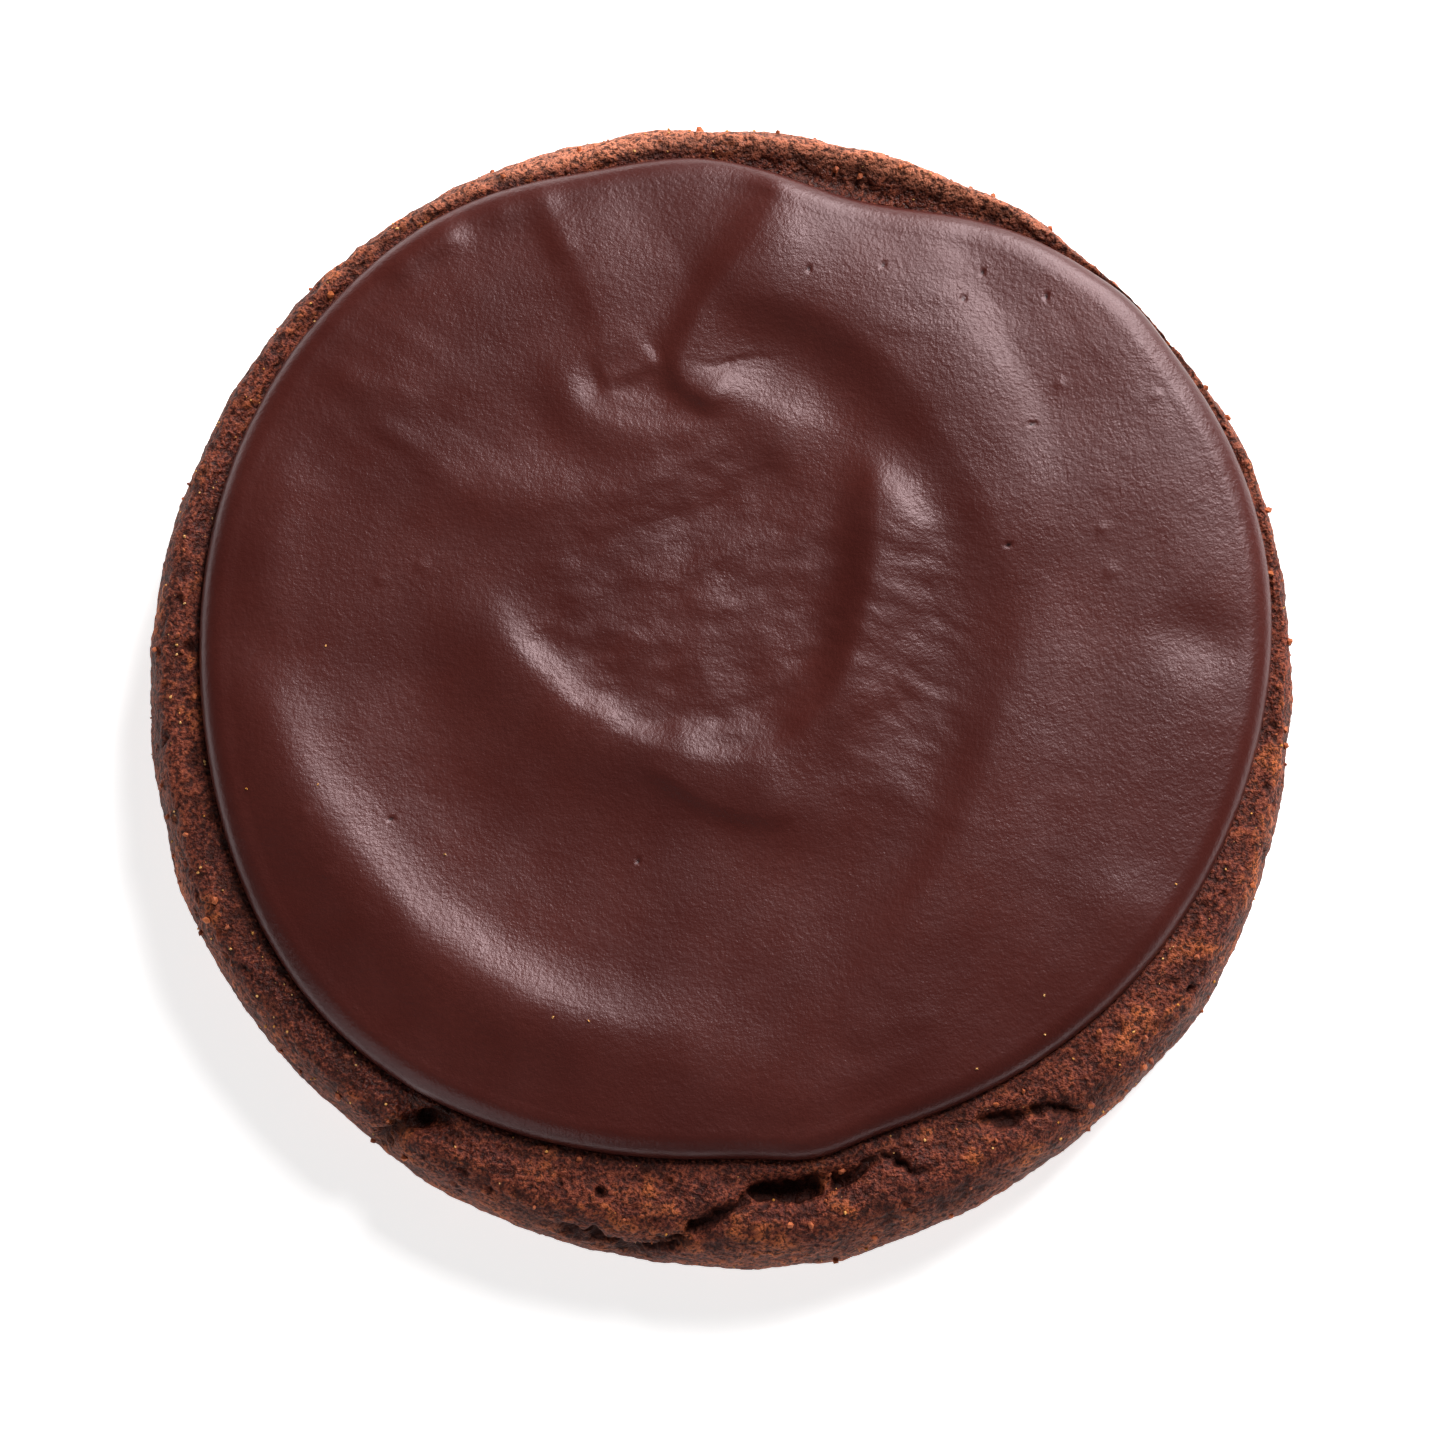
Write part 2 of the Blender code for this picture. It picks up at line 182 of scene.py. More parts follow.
# A stroke is a ridge along a smooth curve through its points, or a groove if its height is negative. Its two
# sides, left and right of the way it runs, have their own widths. It fades in and out over a share of its
# length, and its widths shrink to the last value's share at its far end.
Stroke = namedtuple("Stroke", "points height left right fade_in fade_out narrowing", defaults=(0.3, 0.3, 1.0))
SPOON_STROKES = (
    # Outer bowl: its floor, lower left wall, lower right wall, the swell beyond that, low left bank
    Stroke(((-28, 10.5), (-27, 0.5), (-24, -7.5), (-18, -14), (-10, -17), (0, -17.5)), -0.32, 5, 5.5,
        0.25, 0.3),
    Stroke(((-41.7, 5.6), (-40, -2.4), (-36.6, -9.9), (-31.4, -17.4), (-25, -23.7), (-17.9, -28.2),
        (-10, -30.9), (-2, -31.6), (4, -31)), 0.85, 3.6, 4.8, 0.22, 0.35),
    Stroke(((5.5, -34.5), (9, -31.3), (13.6, -26.1), (17.3, -20.5), (20.2, -15.5), (22.9, -9.8),
        (25.2, -2.6), (27.4, 4.5), (29.5, 12.7)), 0.72, 3, 5.5, 0.4, 0.4),
    Stroke(((20.3, -28), (28.4, -19.9), (32.5, -7.7), (32.5, 7.6)), 0.25, 8, 7, 0.3, 0.5),
    Stroke(((-38.6, 1.5), (-39.6, 8.6), (-38.9, 16.7), (-36.6, 22.8)), 0.3, 4, 3),
    # Inner bowl: left and lower wall, floor, steep right wall, blob and step below it
    Stroke(((-21.4, 9.8), (-19.8, 5), (-17.3, 1.1), (-13.6, -2.3), (-9.8, -4.8), (-4.8, -6.8), (0.2, -7.6),
        (5, -6.9), (8.6, -3.9), (11.2, 0.4), (12.9, 6), (13.7, 11.6), (13.8, 17), (12.9, 22.5)), 0.62,
        2.3, 4.4, 0.14, 0.15),
    Stroke(((5, -6.9), (8.6, -3.9), (11.2, 0.4), (12.9, 6), (13.7, 11.6), (13.8, 17), (12.9, 22.5)), 0.5,
        2.7, 6.5, 0.3, 0.3),
    Stroke(((-11.2, 6.1), (-2, 2.5)), 0.25, 7.5, 7.5, 0, 0),
    Stroke(((6.4, -11), (10, -11), (13.6, -9.4)), 0.4, 4.2, 4.2, 0, 0),
    Stroke(((-8.5, -6.4), (-4.4, -8.4), (-1.3, -10.4), (1.4, -11.5), (5, -11.7), (8, -11)), 0.25, 4, 1.1),
    # Broad arch over the inner bowl, the crease beyond it and the shoulder near the edge
    Stroke(((-1.5, 32.6), (2.4, 34.4), (6.9, 34.1), (11.5, 31.6), (16.1, 27.3), (20.1, 21.9), (23.8, 15.7),
        (26.4, 8.6), (28.2, 2)), 0.72, 8, 2.8, 0.16, 0.3, 1.5),
    Stroke(((1.5, 29.4), (6.1, 27.9), (10.7, 24.4), (13.7, 21.3)), -0.26, 3.5, 3, 0.3, 0.4),
    Stroke(((20.3, 9.6), (28.4, 3.5)), 0.15, 6, 6, 0, 0),
    Stroke(((20.3, 43), (22.3, 38.5), (26, 31), (29.9, 21.5), (32, 14)), -0.3, 7, 2.9, 0.15, 0.4),
    Stroke(((8, 46), (17, 43.5), (26.4, 40.2), (33, 35.5), (37.8, 29.4), (40.8, 22.5), (42.4, 14)), 0.24,
        3.2, 6.5, 0.2, 0.35),
    # Wedge at the top: right ridge ending in the hook, left crest, fold at its tip, bump under the hook
    Stroke(((8.6, 48.5), (6, 43.4), (4, 40.2), (1.7, 37.1), (-0.6, 33.6), (-2.7, 30.2), (-3.6, 28),
        (-2.8, 26.2), (-1.4, 25.2)), 0.6, 6.5, 2.9, 0.1, 0, 0.45),
    Stroke(((-14.2, 45), (-12.9, 40), (-11.4, 35), (-10, 31), (-8.6, 27.5)), 0.26, 5, 2, 0.25, 0.15),
    Stroke(((-10.8, 26), (-8, 27.2), (-5.2, 28.9)), 0.22, 2, 0.9, 0.2, 0.2),
    Stroke(((0.4, 24.9), (2.6, 24), (5, 22.2)), 0.24, 2.4, 2.6, 0, 0),
    # Knob below the wedge and the band below the knob
    Stroke(((-9.5, 30.3), (-12.3, 28.4), (-13.3, 26), (-12.2, 23.6), (-9.3, 22.3), (-5, 21.9), (0, 22),
        (4.5, 21.6)), 0.38, 1.9, 2.6, 0.3, 0.35),
    Stroke(((-31.5, 21.3), (-25.4, 18.4), (-18.3, 16.3), (-11.2, 15.9), (-4.1, 17.7), (3, 21.3)), 0.4, 3.6,
        3.2, 0.3, 0.3),
    Stroke(((-31.5, 26.9), (-25.4, 26.9), (-19.3, 26.9)), 0.15, 5, 4, 0, 0),
    Stroke(((-7.1, 12.2), (0, 15.2), (7.1, 18.8)), -0.22, 3, 3, 0.3, 0.3),
    # Folds near the edge
    Stroke(((-30.5, 35.5), (-26.4, 38.6), (-21.3, 40.4)), 0.35, 2, 1.7),
    Stroke(((40.8, 4.1), (42.6, 3.4)), -0.3, 3, 2.8, 0, 0),
    Stroke(((34.5, -19.8), (38, -21)), 0.22, 2.8, 3.5, 0, 0),
)
FINE_STROKES = (
    Stroke(((-6.6, -4.6), (-1, -4.9), (5.1, -4)), 0.12, 1, 1),
    Stroke(((-12, 25.4), (-7.1, 24.4), (-2, 24.4)), 0.1, 0.9, 1, 0.25, 0.25),
    Stroke(((13.8, 17.4), (15.4, 15.5), (17.6, 13.2)), 0.12, 1.6, 1.6, 0, 0),
    Stroke(((-18.9, 41.7), (-15.9, 43.2)), 0.22, 1.6, 1.5, 0, 0),
    Stroke(((-15.2, 41.6), (-13.9, 38.4)), 0.16, 1.2, 1.3, 0, 0),
    Stroke(((-35.8, 27.7), (-30, 26), (-24.9, 24)), 0.13, 2, 1.5),
    Stroke(((-32.5, 23.8), (-27.4, 21.3), (-22.4, 19.8)), 0.08, 1.6, 1.3),
    Stroke(((1, -38.2), (8.1, -36.6), (14.2, -34.1), (20.3, -31)), 0.13, 2, 1.6),
    Stroke(((10.2, -32), (15.2, -30.5), (20.3, -29)), 0.09, 1.5, 1.3),
)
CRACKS = (
    # Deep crease at the lower left, the long crack with its open pocket, and the cracks at the lower right
    Stroke(((-32.5, -41.3), (-29, -39.2), (-25.5, -37.8), (-21, -37.9)), -1.5, 1.5, 1.5, 0.1, 0.3),
    Stroke(((-16, -46.9), (-12, -48), (-8, -49.1), (-5, -49), (-2.8, -48), (-0.3, -46.6), (2, -45.2)), -0.9,
        1.1, 1.1),
    Stroke(((1.2, -45), (3.6, -44.5), (6, -44.2), (9, -43.7), (13, -41.8)), -1.3, 1.2, 1.2),
    Stroke(((21.8, -38.5), (25.7, -38), (28.6, -37.1), (32, -37.6)), -0.6, 1.1, 1.1),
    # Long moist hollow between the icing and the crest at the upper right
    Stroke(((0, 47.5), (8, 46), (15, 44), (22, 42), (28, 38.5)), -0.3, 2, 2),
)
FINE_CRACKS = (
    # Sharp line of each crack
    Stroke(((-31, -40.2), (-28, -38.8), (-25.4, -37.7), (-21.9, -37.9)), -1.1, 0.5, 0.7, 0.1, 0.3),
    Stroke(((-16, -46.9), (-13.7, -47.5), (-11.4, -48.1), (-9.7, -48.7), (-8.1, -49.2), (-6, -49.2),
        (-4.3, -48.9), (-2.9, -48.3)), -1.2, 0.42, 0.42, 0.3, 0.1),
    Stroke(((-2.9, -48.3), (-2.6, -47.7), (-1.4, -47.2), (-0.2, -46.6), (0.5, -46.2), (1.8, -45.4),
        (2.6, -44.8)), -1.3, 0.42, 0.45, 0.1, 0.1),
    Stroke(((2.2, -44.7), (4, -44.5), (6.1, -44.2), (7.9, -44), (9.2, -43.6)), -1.7, 0.6, 0.55, 0.2, 0.2),
    Stroke(((9.4, -43.7), (10.8, -43.3), (12.2, -42.7), (12.7, -42.1), (13.5, -41.2)), -1.1, 0.4, 0.4,
        0.1, 0.2),
    Stroke(((13.2, -41.3), (14.9, -41.4), (15.9, -42), (17.1, -42.8), (19.3, -42)), -0.9, 0.35, 0.4,
        0.1, 0.3),
    Stroke(((21.8, -38.6), (22.9, -38.3), (24, -38.4), (25.7, -38), (26.8, -37.3)), -0.9, 0.35, 0.35),
    Stroke(((25.7, -38), (28.3, -37), (29.7, -37.3), (31.9, -37.6)), -0.9, 0.35, 0.35),
    Stroke(((38.6, -26.4), (40.4, -26.3)), -0.5, 0.3, 0.3),
    Stroke(((38.8, -31.6), (40.4, -30.3)), -0.5, 0.3, 0.3),
    Stroke(((-49.3, -5.5), (-48, -4.6)), -0.5, 0.3, 0.3),
    Stroke(((47.9, -3.3), (48.7, -3.7)), -0.5, 0.3, 0.3),
    Stroke(((47.6, -14.1), (47.4, -15.5)), -0.5, 0.3, 0.3),
)

# Small features of the icing: burst bubbles, whole bubbles and pale flecks, as places from above
PINHOLES = ((7.8, 36.3), (28.7, 34.1), (27.2, 22.5), (23.1, 36.3), (14.3, 36.7), (21.3, 33.7),
            (25.2, 11.8), (-7.1, -16.1), (-28.6, -12.3))
BUBBLES = ((33.4, 13.2), (34.1, 9.5), (38.2, 25.2), (29.8, 26.2),
           (-34, -17.2), (-36, -12), (-26, 10), (-29.6, 8.8))
FLECKS = ((-34.3, 2.8), (-35, -9.4), (-41.1, -9.7), (-23.8, -15.4), (-14.5, -29.8), (-11.3, -30.1),
          (28.2, -27.8), (22.3, -34), (28, -31.1), (39.6, -18.1))
PINHOLE_DEPTH = 0.3
BUBBLE_HEIGHT = 0.07
BUBBLE_RADIUS = 0.5
FLECK_RADIUS = 0.16

# Marks of the spoon: noise drawn out along a heading in degrees, its length along and across, height and seed
Marks = namedtuple("Marks", "heading along across height seed")
INNER_BOWL_MARKS = (Marks(25, 3.6, 2.2, 0.10, 9), Marks(10, 1.7, 1.1, 0.035, 10))
RIPPLE_MARKS = (Marks(-22, 3.4, 1.5, 0.085, 14), Marks(-40, 1.8, 0.9, 0.034, 15))
UPPER_LEFT_MARKS = (Marks(-28, 6.0, 1.8, 0.07, 17),)
FAINT_MARKS = (Marks(30, 2.6, 1.9, 0.018, 21),)
RING_WANDER = (Marks(0, 14.0, 14.0, 2.5, 3),)
RING_HEIGHT = 0.016
RING_WIDTH = 2.2
RING_TURN = 14
RING_SEED = 5

# Slow waves of the icing, and how far the strokes drift from their curves
WAVE_LENGTH = 7.5
WAVE_HEIGHT = 0.07
DRIFT_LENGTH = 6.0
DRIFT = 0.35

# Pits of the crust that show singly: place, radius, depth
Pit = namedtuple("Pit", "x y radius depth")
CRUST_PITS = (
    Pit(-6.4, -42.5, 0.6, 0.8), Pit(-10.4, -44.5, 0.5, 0.7), Pit(-4.6, -43.6, 0.35, 0.5),
    Pit(7.4, -41.5, 0.35, 0.5), Pit(-13.5, -40.3, 0.8, 0.7), Pit(-46.2, 3.4, 0.7, 0.8),
    Pit(-44.2, -11.8, 0.5, 0.6), Pit(-38, -25.3, 0.6, 0.8), Pit(-47.4, 7.4, 0.4, 0.5),
    Pit(47.3, -4.3, 0.5, 0.6), Pit(47.6, -9.1, 0.35, 0.4), Pit(41, -27, 0.5, 0.6),
)
PORE_COUNT = 300
PORE_BAND = (0.02, 1.5)
PORE_SEED = 11
PORE_RADIUS = (0.18, 0.42)
PORE_DEPTH_SHARE = (0.5, 1.0)

# Chips scattered over the crust: seed, band of places, smallest size as a share, flatness, and how far each
# chip's middle stands off the surface, as a share of its radius
Scatter = namedtuple("Scatter", "name seed first_place last_place smallest flatness lift")
SUGAR = Scatter("sugar_grains", 23, 0.05, 1.7, 0.35, 0.8, 0.35)
CRUMBS = Scatter("crumbs", 31, 0.1, 1.2, 0.3, 0.75, 0.3)
FLECK_CHIPS = Scatter("icing_flecks", 23, 0, 0, 0, 0.5, 0.1)
CHIP_KINDS = 5
CHIP_CORNERS = 10


def swollen(radius, direction, swells):
    """Plan radius in each direction: the base radius with its swells and dips."""
    total = np.full_like(direction, radius)
    for swell in swells:
        away = (direction - swell.direction + 180) % 360 - 180
        total = total + swell.rise * np.exp(-(away / swell.half_width) ** 2)
    return total


def cookie_outline(direction):
    """Plan radius of the cookie's side at its widest level."""
    return swollen(COOKIE_RADIUS, direction, COOKIE_SWELLS)


def icing_outline(direction):
    """Plan radius of the icing's edge, measured from the cookie's middle."""
    turn = np.radians(direction)
    drift = ICING_DRIFT[0] * np.cos(turn) + ICING_DRIFT[1] * np.sin(turn)
    return swollen(ICING_RADIUS, direction, ICING_SWELLS) + drift


def smooth_curve(points, pieces=16):
    """Catmull-Rom curve through the points, as a row of positions."""
    knots = np.array(points, float)
    knots = np.vstack([2 * knots[0] - knots[1], knots, 2 * knots[-1] - knots[-2]])
    share = np.linspace(0, 1, pieces + 1)[:-1, None]
    rows = []
    for a, b, c, d in zip(knots, knots[1:], knots[2:], knots[3:]):
        bend = 2 * a - 5 * b + 4 * c - d
        twist = 3 * b - a - 3 * c + d
        rows.append(0.5 * (2 * b + (c - a) * share + bend * share ** 2 + twist * share ** 3))
    rows.append(knots[-2:-1])
    return np.vstack(rows)


def smoothstep(value):
    """0 to 1 with level ends."""
    value = np.clip(value, 0, 1)
    return value * value * (3 - 2 * value)


def stroke_height(x, y, stroke):
    """Height that one stroke adds at each place."""
    line = smooth_curve(stroke.points)
    reach = 3 * max(stroke.left, stroke.right)
    near = (x > line[:, 0].min() - reach) & (x < line[:, 0].max() + reach)
    near &= (y > line[:, 1].min() - reach) & (y < line[:, 1].max() + reach)
    height = np.zeros(x.shape)
    x = x[near]
    y = y[near]
    step = np.diff(line, axis=0)
    length = np.hypot(step[:, 0], step[:, 1])
    start = np.concatenate([[0], np.cumsum(length)])
    nearest = np.full(x.shape, np.inf)
    lean = np.zeros(x.shape)
    along = np.zeros(x.shape)
    for corner, (run_x, run_y), run, begun in zip(line, step, length, start):
        to_x = x - corner[0]
        to_y = y - corner[1]
        share = np.clip((to_x * run_x + to_y * run_y) / run ** 2, 0, 1)
        off_x = to_x - share * run_x
        off_y = to_y - share * run_y
        distance = np.hypot(off_x, off_y)
        closer = distance < nearest
        nearest = np.where(closer, distance, nearest)
        across = (run_x * off_y - run_y * off_x) / (run * np.maximum(distance, 1e-6))
        lean = np.where(closer, across, lean)
        along = np.where(closer, (begun + share * run) / start[-1], along)
    width = 0.5 * (stroke.left + stroke.right + (stroke.left - stroke.right) * lean)
    width = width * (1 + (stroke.narrowing - 1) * along)
    fade = np.ones(x.shape)
    if stroke.fade_in:
        fade = fade * smoothstep(along / stroke.fade_in)
    if stroke.fade_out:
        fade = fade * smoothstep((1 - along) / stroke.fade_out)
    height[near] = stroke.height * fade * np.exp(-(nearest / width) ** 2)
    return height


def strokes_height(x, y, strokes):
    """Height that all the strokes add together."""
    return sum(stroke_height(x, y, stroke) for stroke in strokes)


def grain_noise(points, length, octaves=1):
    """Soft noise from -1 to 1 at each point, with lumps of that length and finer octaves on them."""
    rows = points / length
    return np.array([noise.fractal(Vector(row), 0.9, 2.0, octaves) for row in rows])


def brushed_noise(x, y, heading, along, across, seed):
    """Noise drawn out along a heading in degrees, as a spoon leaves it."""
    turn = math.radians(heading)
    forward = (x * math.cos(turn) + y * math.sin(turn)) / along
    sideways = (y * math.cos(turn) - x * math.sin(turn)) / across
    return np.array([noise.noise(Vector((a, b, seed))) for a, b in zip(forward, sideways)])


def pack_mesh(name, positions, faces, attributes):
    """Smooth mesh in metres from positions in millimetres, with a number at each vertex per attribute."""
    mesh = bpy.data.meshes.new(name)
    mesh.from_pydata((positions * MM).tolist(), [], faces)
    mesh.shade_smooth()
    for title, values in attributes.items():
        layer = mesh.attributes.new(title, "FLOAT", "POINT")
        layer.data.foreach_set("value", np.asarray(values, np.float32))
    mesh.validate()
    return mesh


def add_object(name, data):
    """New object in the scene."""
    holder = bpy.data.objects.new(name, data)
    bpy.context.scene.collection.objects.link(holder)
    return holder


def place_piece(name, mesh, material):
    """Put a piece into the scene on the cookie's one body."""
    for old in [piece for piece in bpy.data.objects if piece.name == name]:
        bpy.data.objects.remove(old)
    piece = add_object(name, mesh)
    piece.data.materials.append(material)
    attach(piece, "root")
    return piece


def vertex_normals(positions, faces):
    """Unit normals of a mesh, as rows."""
    mesh = bpy.data.meshes.new("normals")
    mesh.from_pydata(positions.tolist(), [], faces)
    flat = np.empty(len(positions) * 3, np.float32)
    mesh.vertex_normals.foreach_get("vector", flat)
    bpy.data.meshes.remove(mesh)
    return flat.reshape(-1, 3).astype(float)


def ring_faces(rows, columns, first=0):
    """Quads between closed rings of vertices, facing out when the rings run anticlockwise and down."""
    here = np.arange(columns)
    beside = (here + 1) % columns
    upper = np.arange(rows - 1)[:, None] * columns + first
    lower = upper + columns
    quads = np.stack([upper + here, lower + here, lower + beside, upper + beside], axis=-1)
    return quads.reshape(-1, 4).tolist()


def crust_section(place, room, direction):
    """Height of the crust over its band, from the icing's edge at place 0 to the widest level at place 1."""
    bank = swollen(BANK_RISE, direction, BANK_SWELLS)
    crest = swollen(CREST_RISE, direction, CREST_SWELLS)
    crest_place = swollen(CREST_PLACE, direction, CREST_PLACE_SWELLS)
    inner = BED_HEIGHT + bank * smoothstep((place * room - BANK_OUTSET) / BANK_RUN + 1)
    inner = inner + (crest - bank) * smoothstep(place / crest_place)
    drop = np.clip((place - crest_place) / (1 - crest_place), 0, 1)
    fall = 1 - np.sqrt(1 - drop ** SHOULDER_FULLNESS)
    return inner - (BED_HEIGHT + crest - SIDE_HEIGHT) * fall


def crust_form():
    """Smooth surface of the crust from under the icing's edge, over the crest and down the side to the foot.

    Returns positions in rows of columns, and each place on the band: 0 at the icing's edge, 1 at the widest
    level and 2 at the foot.
    """
    direction = np.arange(CRUST_COLUMNS) * 360 / CRUST_COLUMNS
    turn = np.radians(direction)
    outer = cookie_outline(direction)
    inner = icing_outline(direction)
    room = outer - inner
    crest_place = swollen(CREST_PLACE, direction, CREST_PLACE_SWELLS)
    slope = np.linspace(0, 1, CRUST_INNER_ROWS)[:, None]
    start = -ICING_COVER / room
    inner_place = start + (crest_place - start) * slope
    shoulder = np.radians(np.linspace(0, 90, CRUST_SHOULDER_ROWS + 1))[1:, None]
    shoulder_place = crest_place + (1 - crest_place) * np.sin(shoulder) ** (2 / SHOULDER_FULLNESS)
    place = np.vstack([inner_place, shoulder_place])
    radius = inner + place * room
    height = crust_section(np.clip(place, -1, 1), room, direction)

    side = np.radians(np.linspace(0, 90, CRUST_SIDE_ROWS + 1))[1:, None]
    low = np.sin(side) ** (1 / SIDE_FULLNESS)
    low_radius = outer * (1 - (1 - FOOT_RADIUS_SHARE) * (1 - np.cos(side)))
    low_height = SIDE_HEIGHT * (1 - low) + 0 * room
    radius = np.vstack([radius, low_radius])
    height = np.vstack([height, low_height])
    place = np.vstack([place, 1 + low + 0 * room])
    positions = np.stack([radius * np.cos(turn), radius * np.sin(turn), height], axis=-1)
    return positions.reshape(-1, 3), place.ravel()


def press_pits(positions, pits):
    """Depth of round pits at each vertex, worked out pit by pit from the distance along the surface."""
    depth = np.zeros(len(positions))
    for centre, radius, deep in pits:
        away = np.linalg.norm(positions - centre, axis=1) / radius
        depth = np.maximum(depth, deep * np.clip(1.25 - away ** 2, 0, 1))
    return depth


def scattered_pores(positions, place):
    """Pores of the inner slope and the crest, fewer on the side."""
    draw = np.random.default_rng(PORE_SEED)
    open_crust = np.flatnonzero((place > PORE_BAND[0]) & (place < PORE_BAND[1]))
    chance = np.where(place[open_crust] < 0.8, 1.0, 0.25)
    picked = draw.choice(open_crust, PORE_COUNT, replace=False, p=chance / chance.sum())
    radius = draw.uniform(*PORE_RADIUS, PORE_COUNT)
    deep = radius * draw.uniform(*PORE_DEPTH_SHARE, PORE_COUNT)
    return zip(positions[picked], radius, deep)


def named_pits(positions):
    """The pits that show singly, set on the surface."""
    for pit in CRUST_PITS:
        away = np.hypot(positions[:, 0] - pit.x, positions[:, 1] - pit.y) - positions[:, 2] * 0.01
        yield positions[np.argmin(away)], pit.radius, pit.depth


def lay_crags(positions, place, open_crust):
    """Lay the lumps and the broad cracks on the smooth crust; returns how far cracks go in at each vertex."""
    x, y, z = positions.T.copy()
    low, high = CRACK_LEVELS
    cracked = np.clip((z - low) / (high - low), 0, 1) * (place < CRACK_LAST_PLACE)
    lumps = CRAG_HEIGHT * np.array([noise.noise(Vector(row) / CRAG_LENGTH) for row in positions])
    positions[:, 2] += open_crust * (strokes_height(x, y, CRACKS) * cracked + lumps * (place < 1))
    on_top = smoothstep((place - CRAG_OUTWARD_PLACE) / (1 - CRAG_OUTWARD_PLACE))
    on_side = smoothstep(positions[:, 2] / low)
    outward = lumps * np.where(place < 1, on_top, on_side) / np.hypot(x, y)
    positions[:, 0] += outward * x
    positions[:, 1] += outward * y
    return cracked


def crust_damp_and_shade_share(place, direction):
    """How wet the crust is, with painted shade laid on it: most beside the icing and where its swells say."""
    inner_slope = 1 - smoothstep((place - 0.35) / 0.35)
    beside_icing = 1 - smoothstep((place - 0.04) / 0.1)
    return swollen(DAMP_AND_SHADE_ALL_ROUND, direction, DAMP_AND_SHADE_SWELLS) * inner_slope + SHADE_AND_DAMP_BESIDE_ICING * beside_icing


def build_crust(sizes, colours):
    """Fine crust with its lumps, cracks, pores and pits, in place of the plain solid."""
    positions, place = crust_form()
    rows = len(positions) // CRUST_COLUMNS
    faces = ring_faces(rows, CRUST_COLUMNS)
    open_crust = smoothstep((place - OPEN_START) / OPEN_RUN)
    cracked = lay_crags(positions, place, open_crust)

    normals = vertex_normals(positions, faces)
    x, y, _ = positions.T
    direction = np.degrees(np.arctan2(y, x)) % 360
    # Share of damp crust, partly painted shade: beside the icing, on its inner slope and at the lower left
    damp_and_shade_share = crust_damp_and_shade_share(place, direction)
    rough_share = np.where(place < 1, 1.0, 1.0 - 0.5 * smoothstep((place - 1) / 0.5))
    swells = grain_noise(positions, SWELL_LENGTH, 1)
    crumb = grain_noise(positions + 80, CRUMB_LENGTH, 3)
    gaps = -np.abs(grain_noise(positions + 40, GAP_LENGTH, 2))
    relief = SWELL_HEIGHT * swells + CRUMB_HEIGHT * crumb + (GAP_DEPTH + DAMP_GAP_DEPTH * damp_and_shade_share) * gaps
    relief = relief * rough_share * sizes.crumb_depth
    wander_x = WANDER * grain_noise(positions + 120, WANDER_LENGTH, 2)
    wander_y = WANDER * grain_noise(positions + 160, WANDER_LENGTH, 2)
    cracks = strokes_height(x + wander_x, y + wander_y, FINE_CRACKS) * cracked
    holes = [*scattered_pores(positions, place), *named_pits(positions)]
    pits = press_pits(positions, holes)
    push = open_crust * (relief + cracks - pits)
    positions = positions + normals * push[:, None]
    positions[:, 2] = np.maximum(positions[:, 2], 0)

    top_cap = list(range(CRUST_COLUMNS))
    bottom_cap = list(range((rows - 1) * CRUST_COLUMNS, rows * CRUST_COLUMNS))[::-1]
    # Rim painted paler on the side facing the lights: painted light
    pale = swollen(0.0, direction, LIT_RIM_SWELLS) * smoothstep((place - 0.05) / 0.4)
    # Shares for the material: the rim painted light, damp with painted shade, and pits, cracks and relief for
    # painted shade in hollows
    attributes = {
        "pale": pale * (1 - smoothstep((place - 0.95) / 0.3)),
        "moist": np.clip(damp_and_shade_share * (1 + 0.8 * swells), 0, 1),
        "hollow": np.clip((pits - cracks) / 0.8, 0, 1),
        "relief": 0.5 + 1.8 * relief,
        "place": place,
    }
    mesh = pack_mesh("crust", positions, faces + [top_cap, bottom_cap], attributes)
    piece = place_piece("crust", mesh, crust_material(colours))
    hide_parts("cookie")
    return piece


def disc_places(cells):
    """Square grid bent into a unit disc so that its cells stay about equal, as radius and turn."""
    axis = np.linspace(-1, 1, cells + 1)
    a, b = np.meshgrid(axis, axis)
    wide = np.abs(a) >= np.abs(b)
    radius = np.where(wide, a, b)
    lesser = np.where(wide, b, a) / np.where(radius == 0, 1, radius)
    turn = np.where(wide, lesser * math.pi / 4, math.pi / 2 - lesser * math.pi / 4)
    turn = np.where(radius < 0, turn + math.pi, turn)
    return np.abs(radius), turn


def disc_rim(cells):
    """Numbers of the grid's border vertices, in order round it, anticlockwise."""
    side = cells + 1
    grid = np.arange(side * side).reshape(side, side)
    return np.concatenate([grid[0, :-1], grid[:-1, -1], grid[-1, :0:-1], grid[:0:-1, 0]])


def spoon_marks(x, y, marks):
    """Height that a few kinds of marks add together."""
    return sum(kind.height * brushed_noise(x, y, kind.heading, kind.along, kind.across, kind.seed)
               for kind in marks)


def bell(x, y, middle, width, length):
    """1 at the middle, falling away over a width in x and a length in y."""
    return np.exp(-((x - middle[0]) / width) ** 2 - ((y - middle[1]) / length) ** 2)


def spoon_texture(x, y):
    """Low relief left by the spoon: faint rings round the outer bowl, mottling in the inner one, ripples."""
    from_bowl = np.hypot(x + 6, y)
    turn = np.degrees(np.arctan2(y, x + 6))
    ring = (from_bowl + spoon_marks(x, y, RING_WANDER)) / RING_WIDTH
    rings = np.array([noise.noise(Vector((a, b, RING_SEED))) for a, b in zip(ring, turn / RING_TURN)])
    inner_bowl = smoothstep((17 - np.hypot(x + 2.5, y - 7)) / 6)
    texture = RING_HEIGHT * rings * smoothstep((from_bowl - 14) / 10)
    texture += spoon_marks(x, y, INNER_BOWL_MARKS) * inner_bowl
    texture += spoon_marks(x, y, RIPPLE_MARKS) * bell(x, y, (16, 1), 7, 13)
    texture += spoon_marks(x, y, UPPER_LEFT_MARKS) * bell(x, y, (-26, 25), 9, 9)
    return texture + spoon_marks(x, y, FAINT_MARKS)


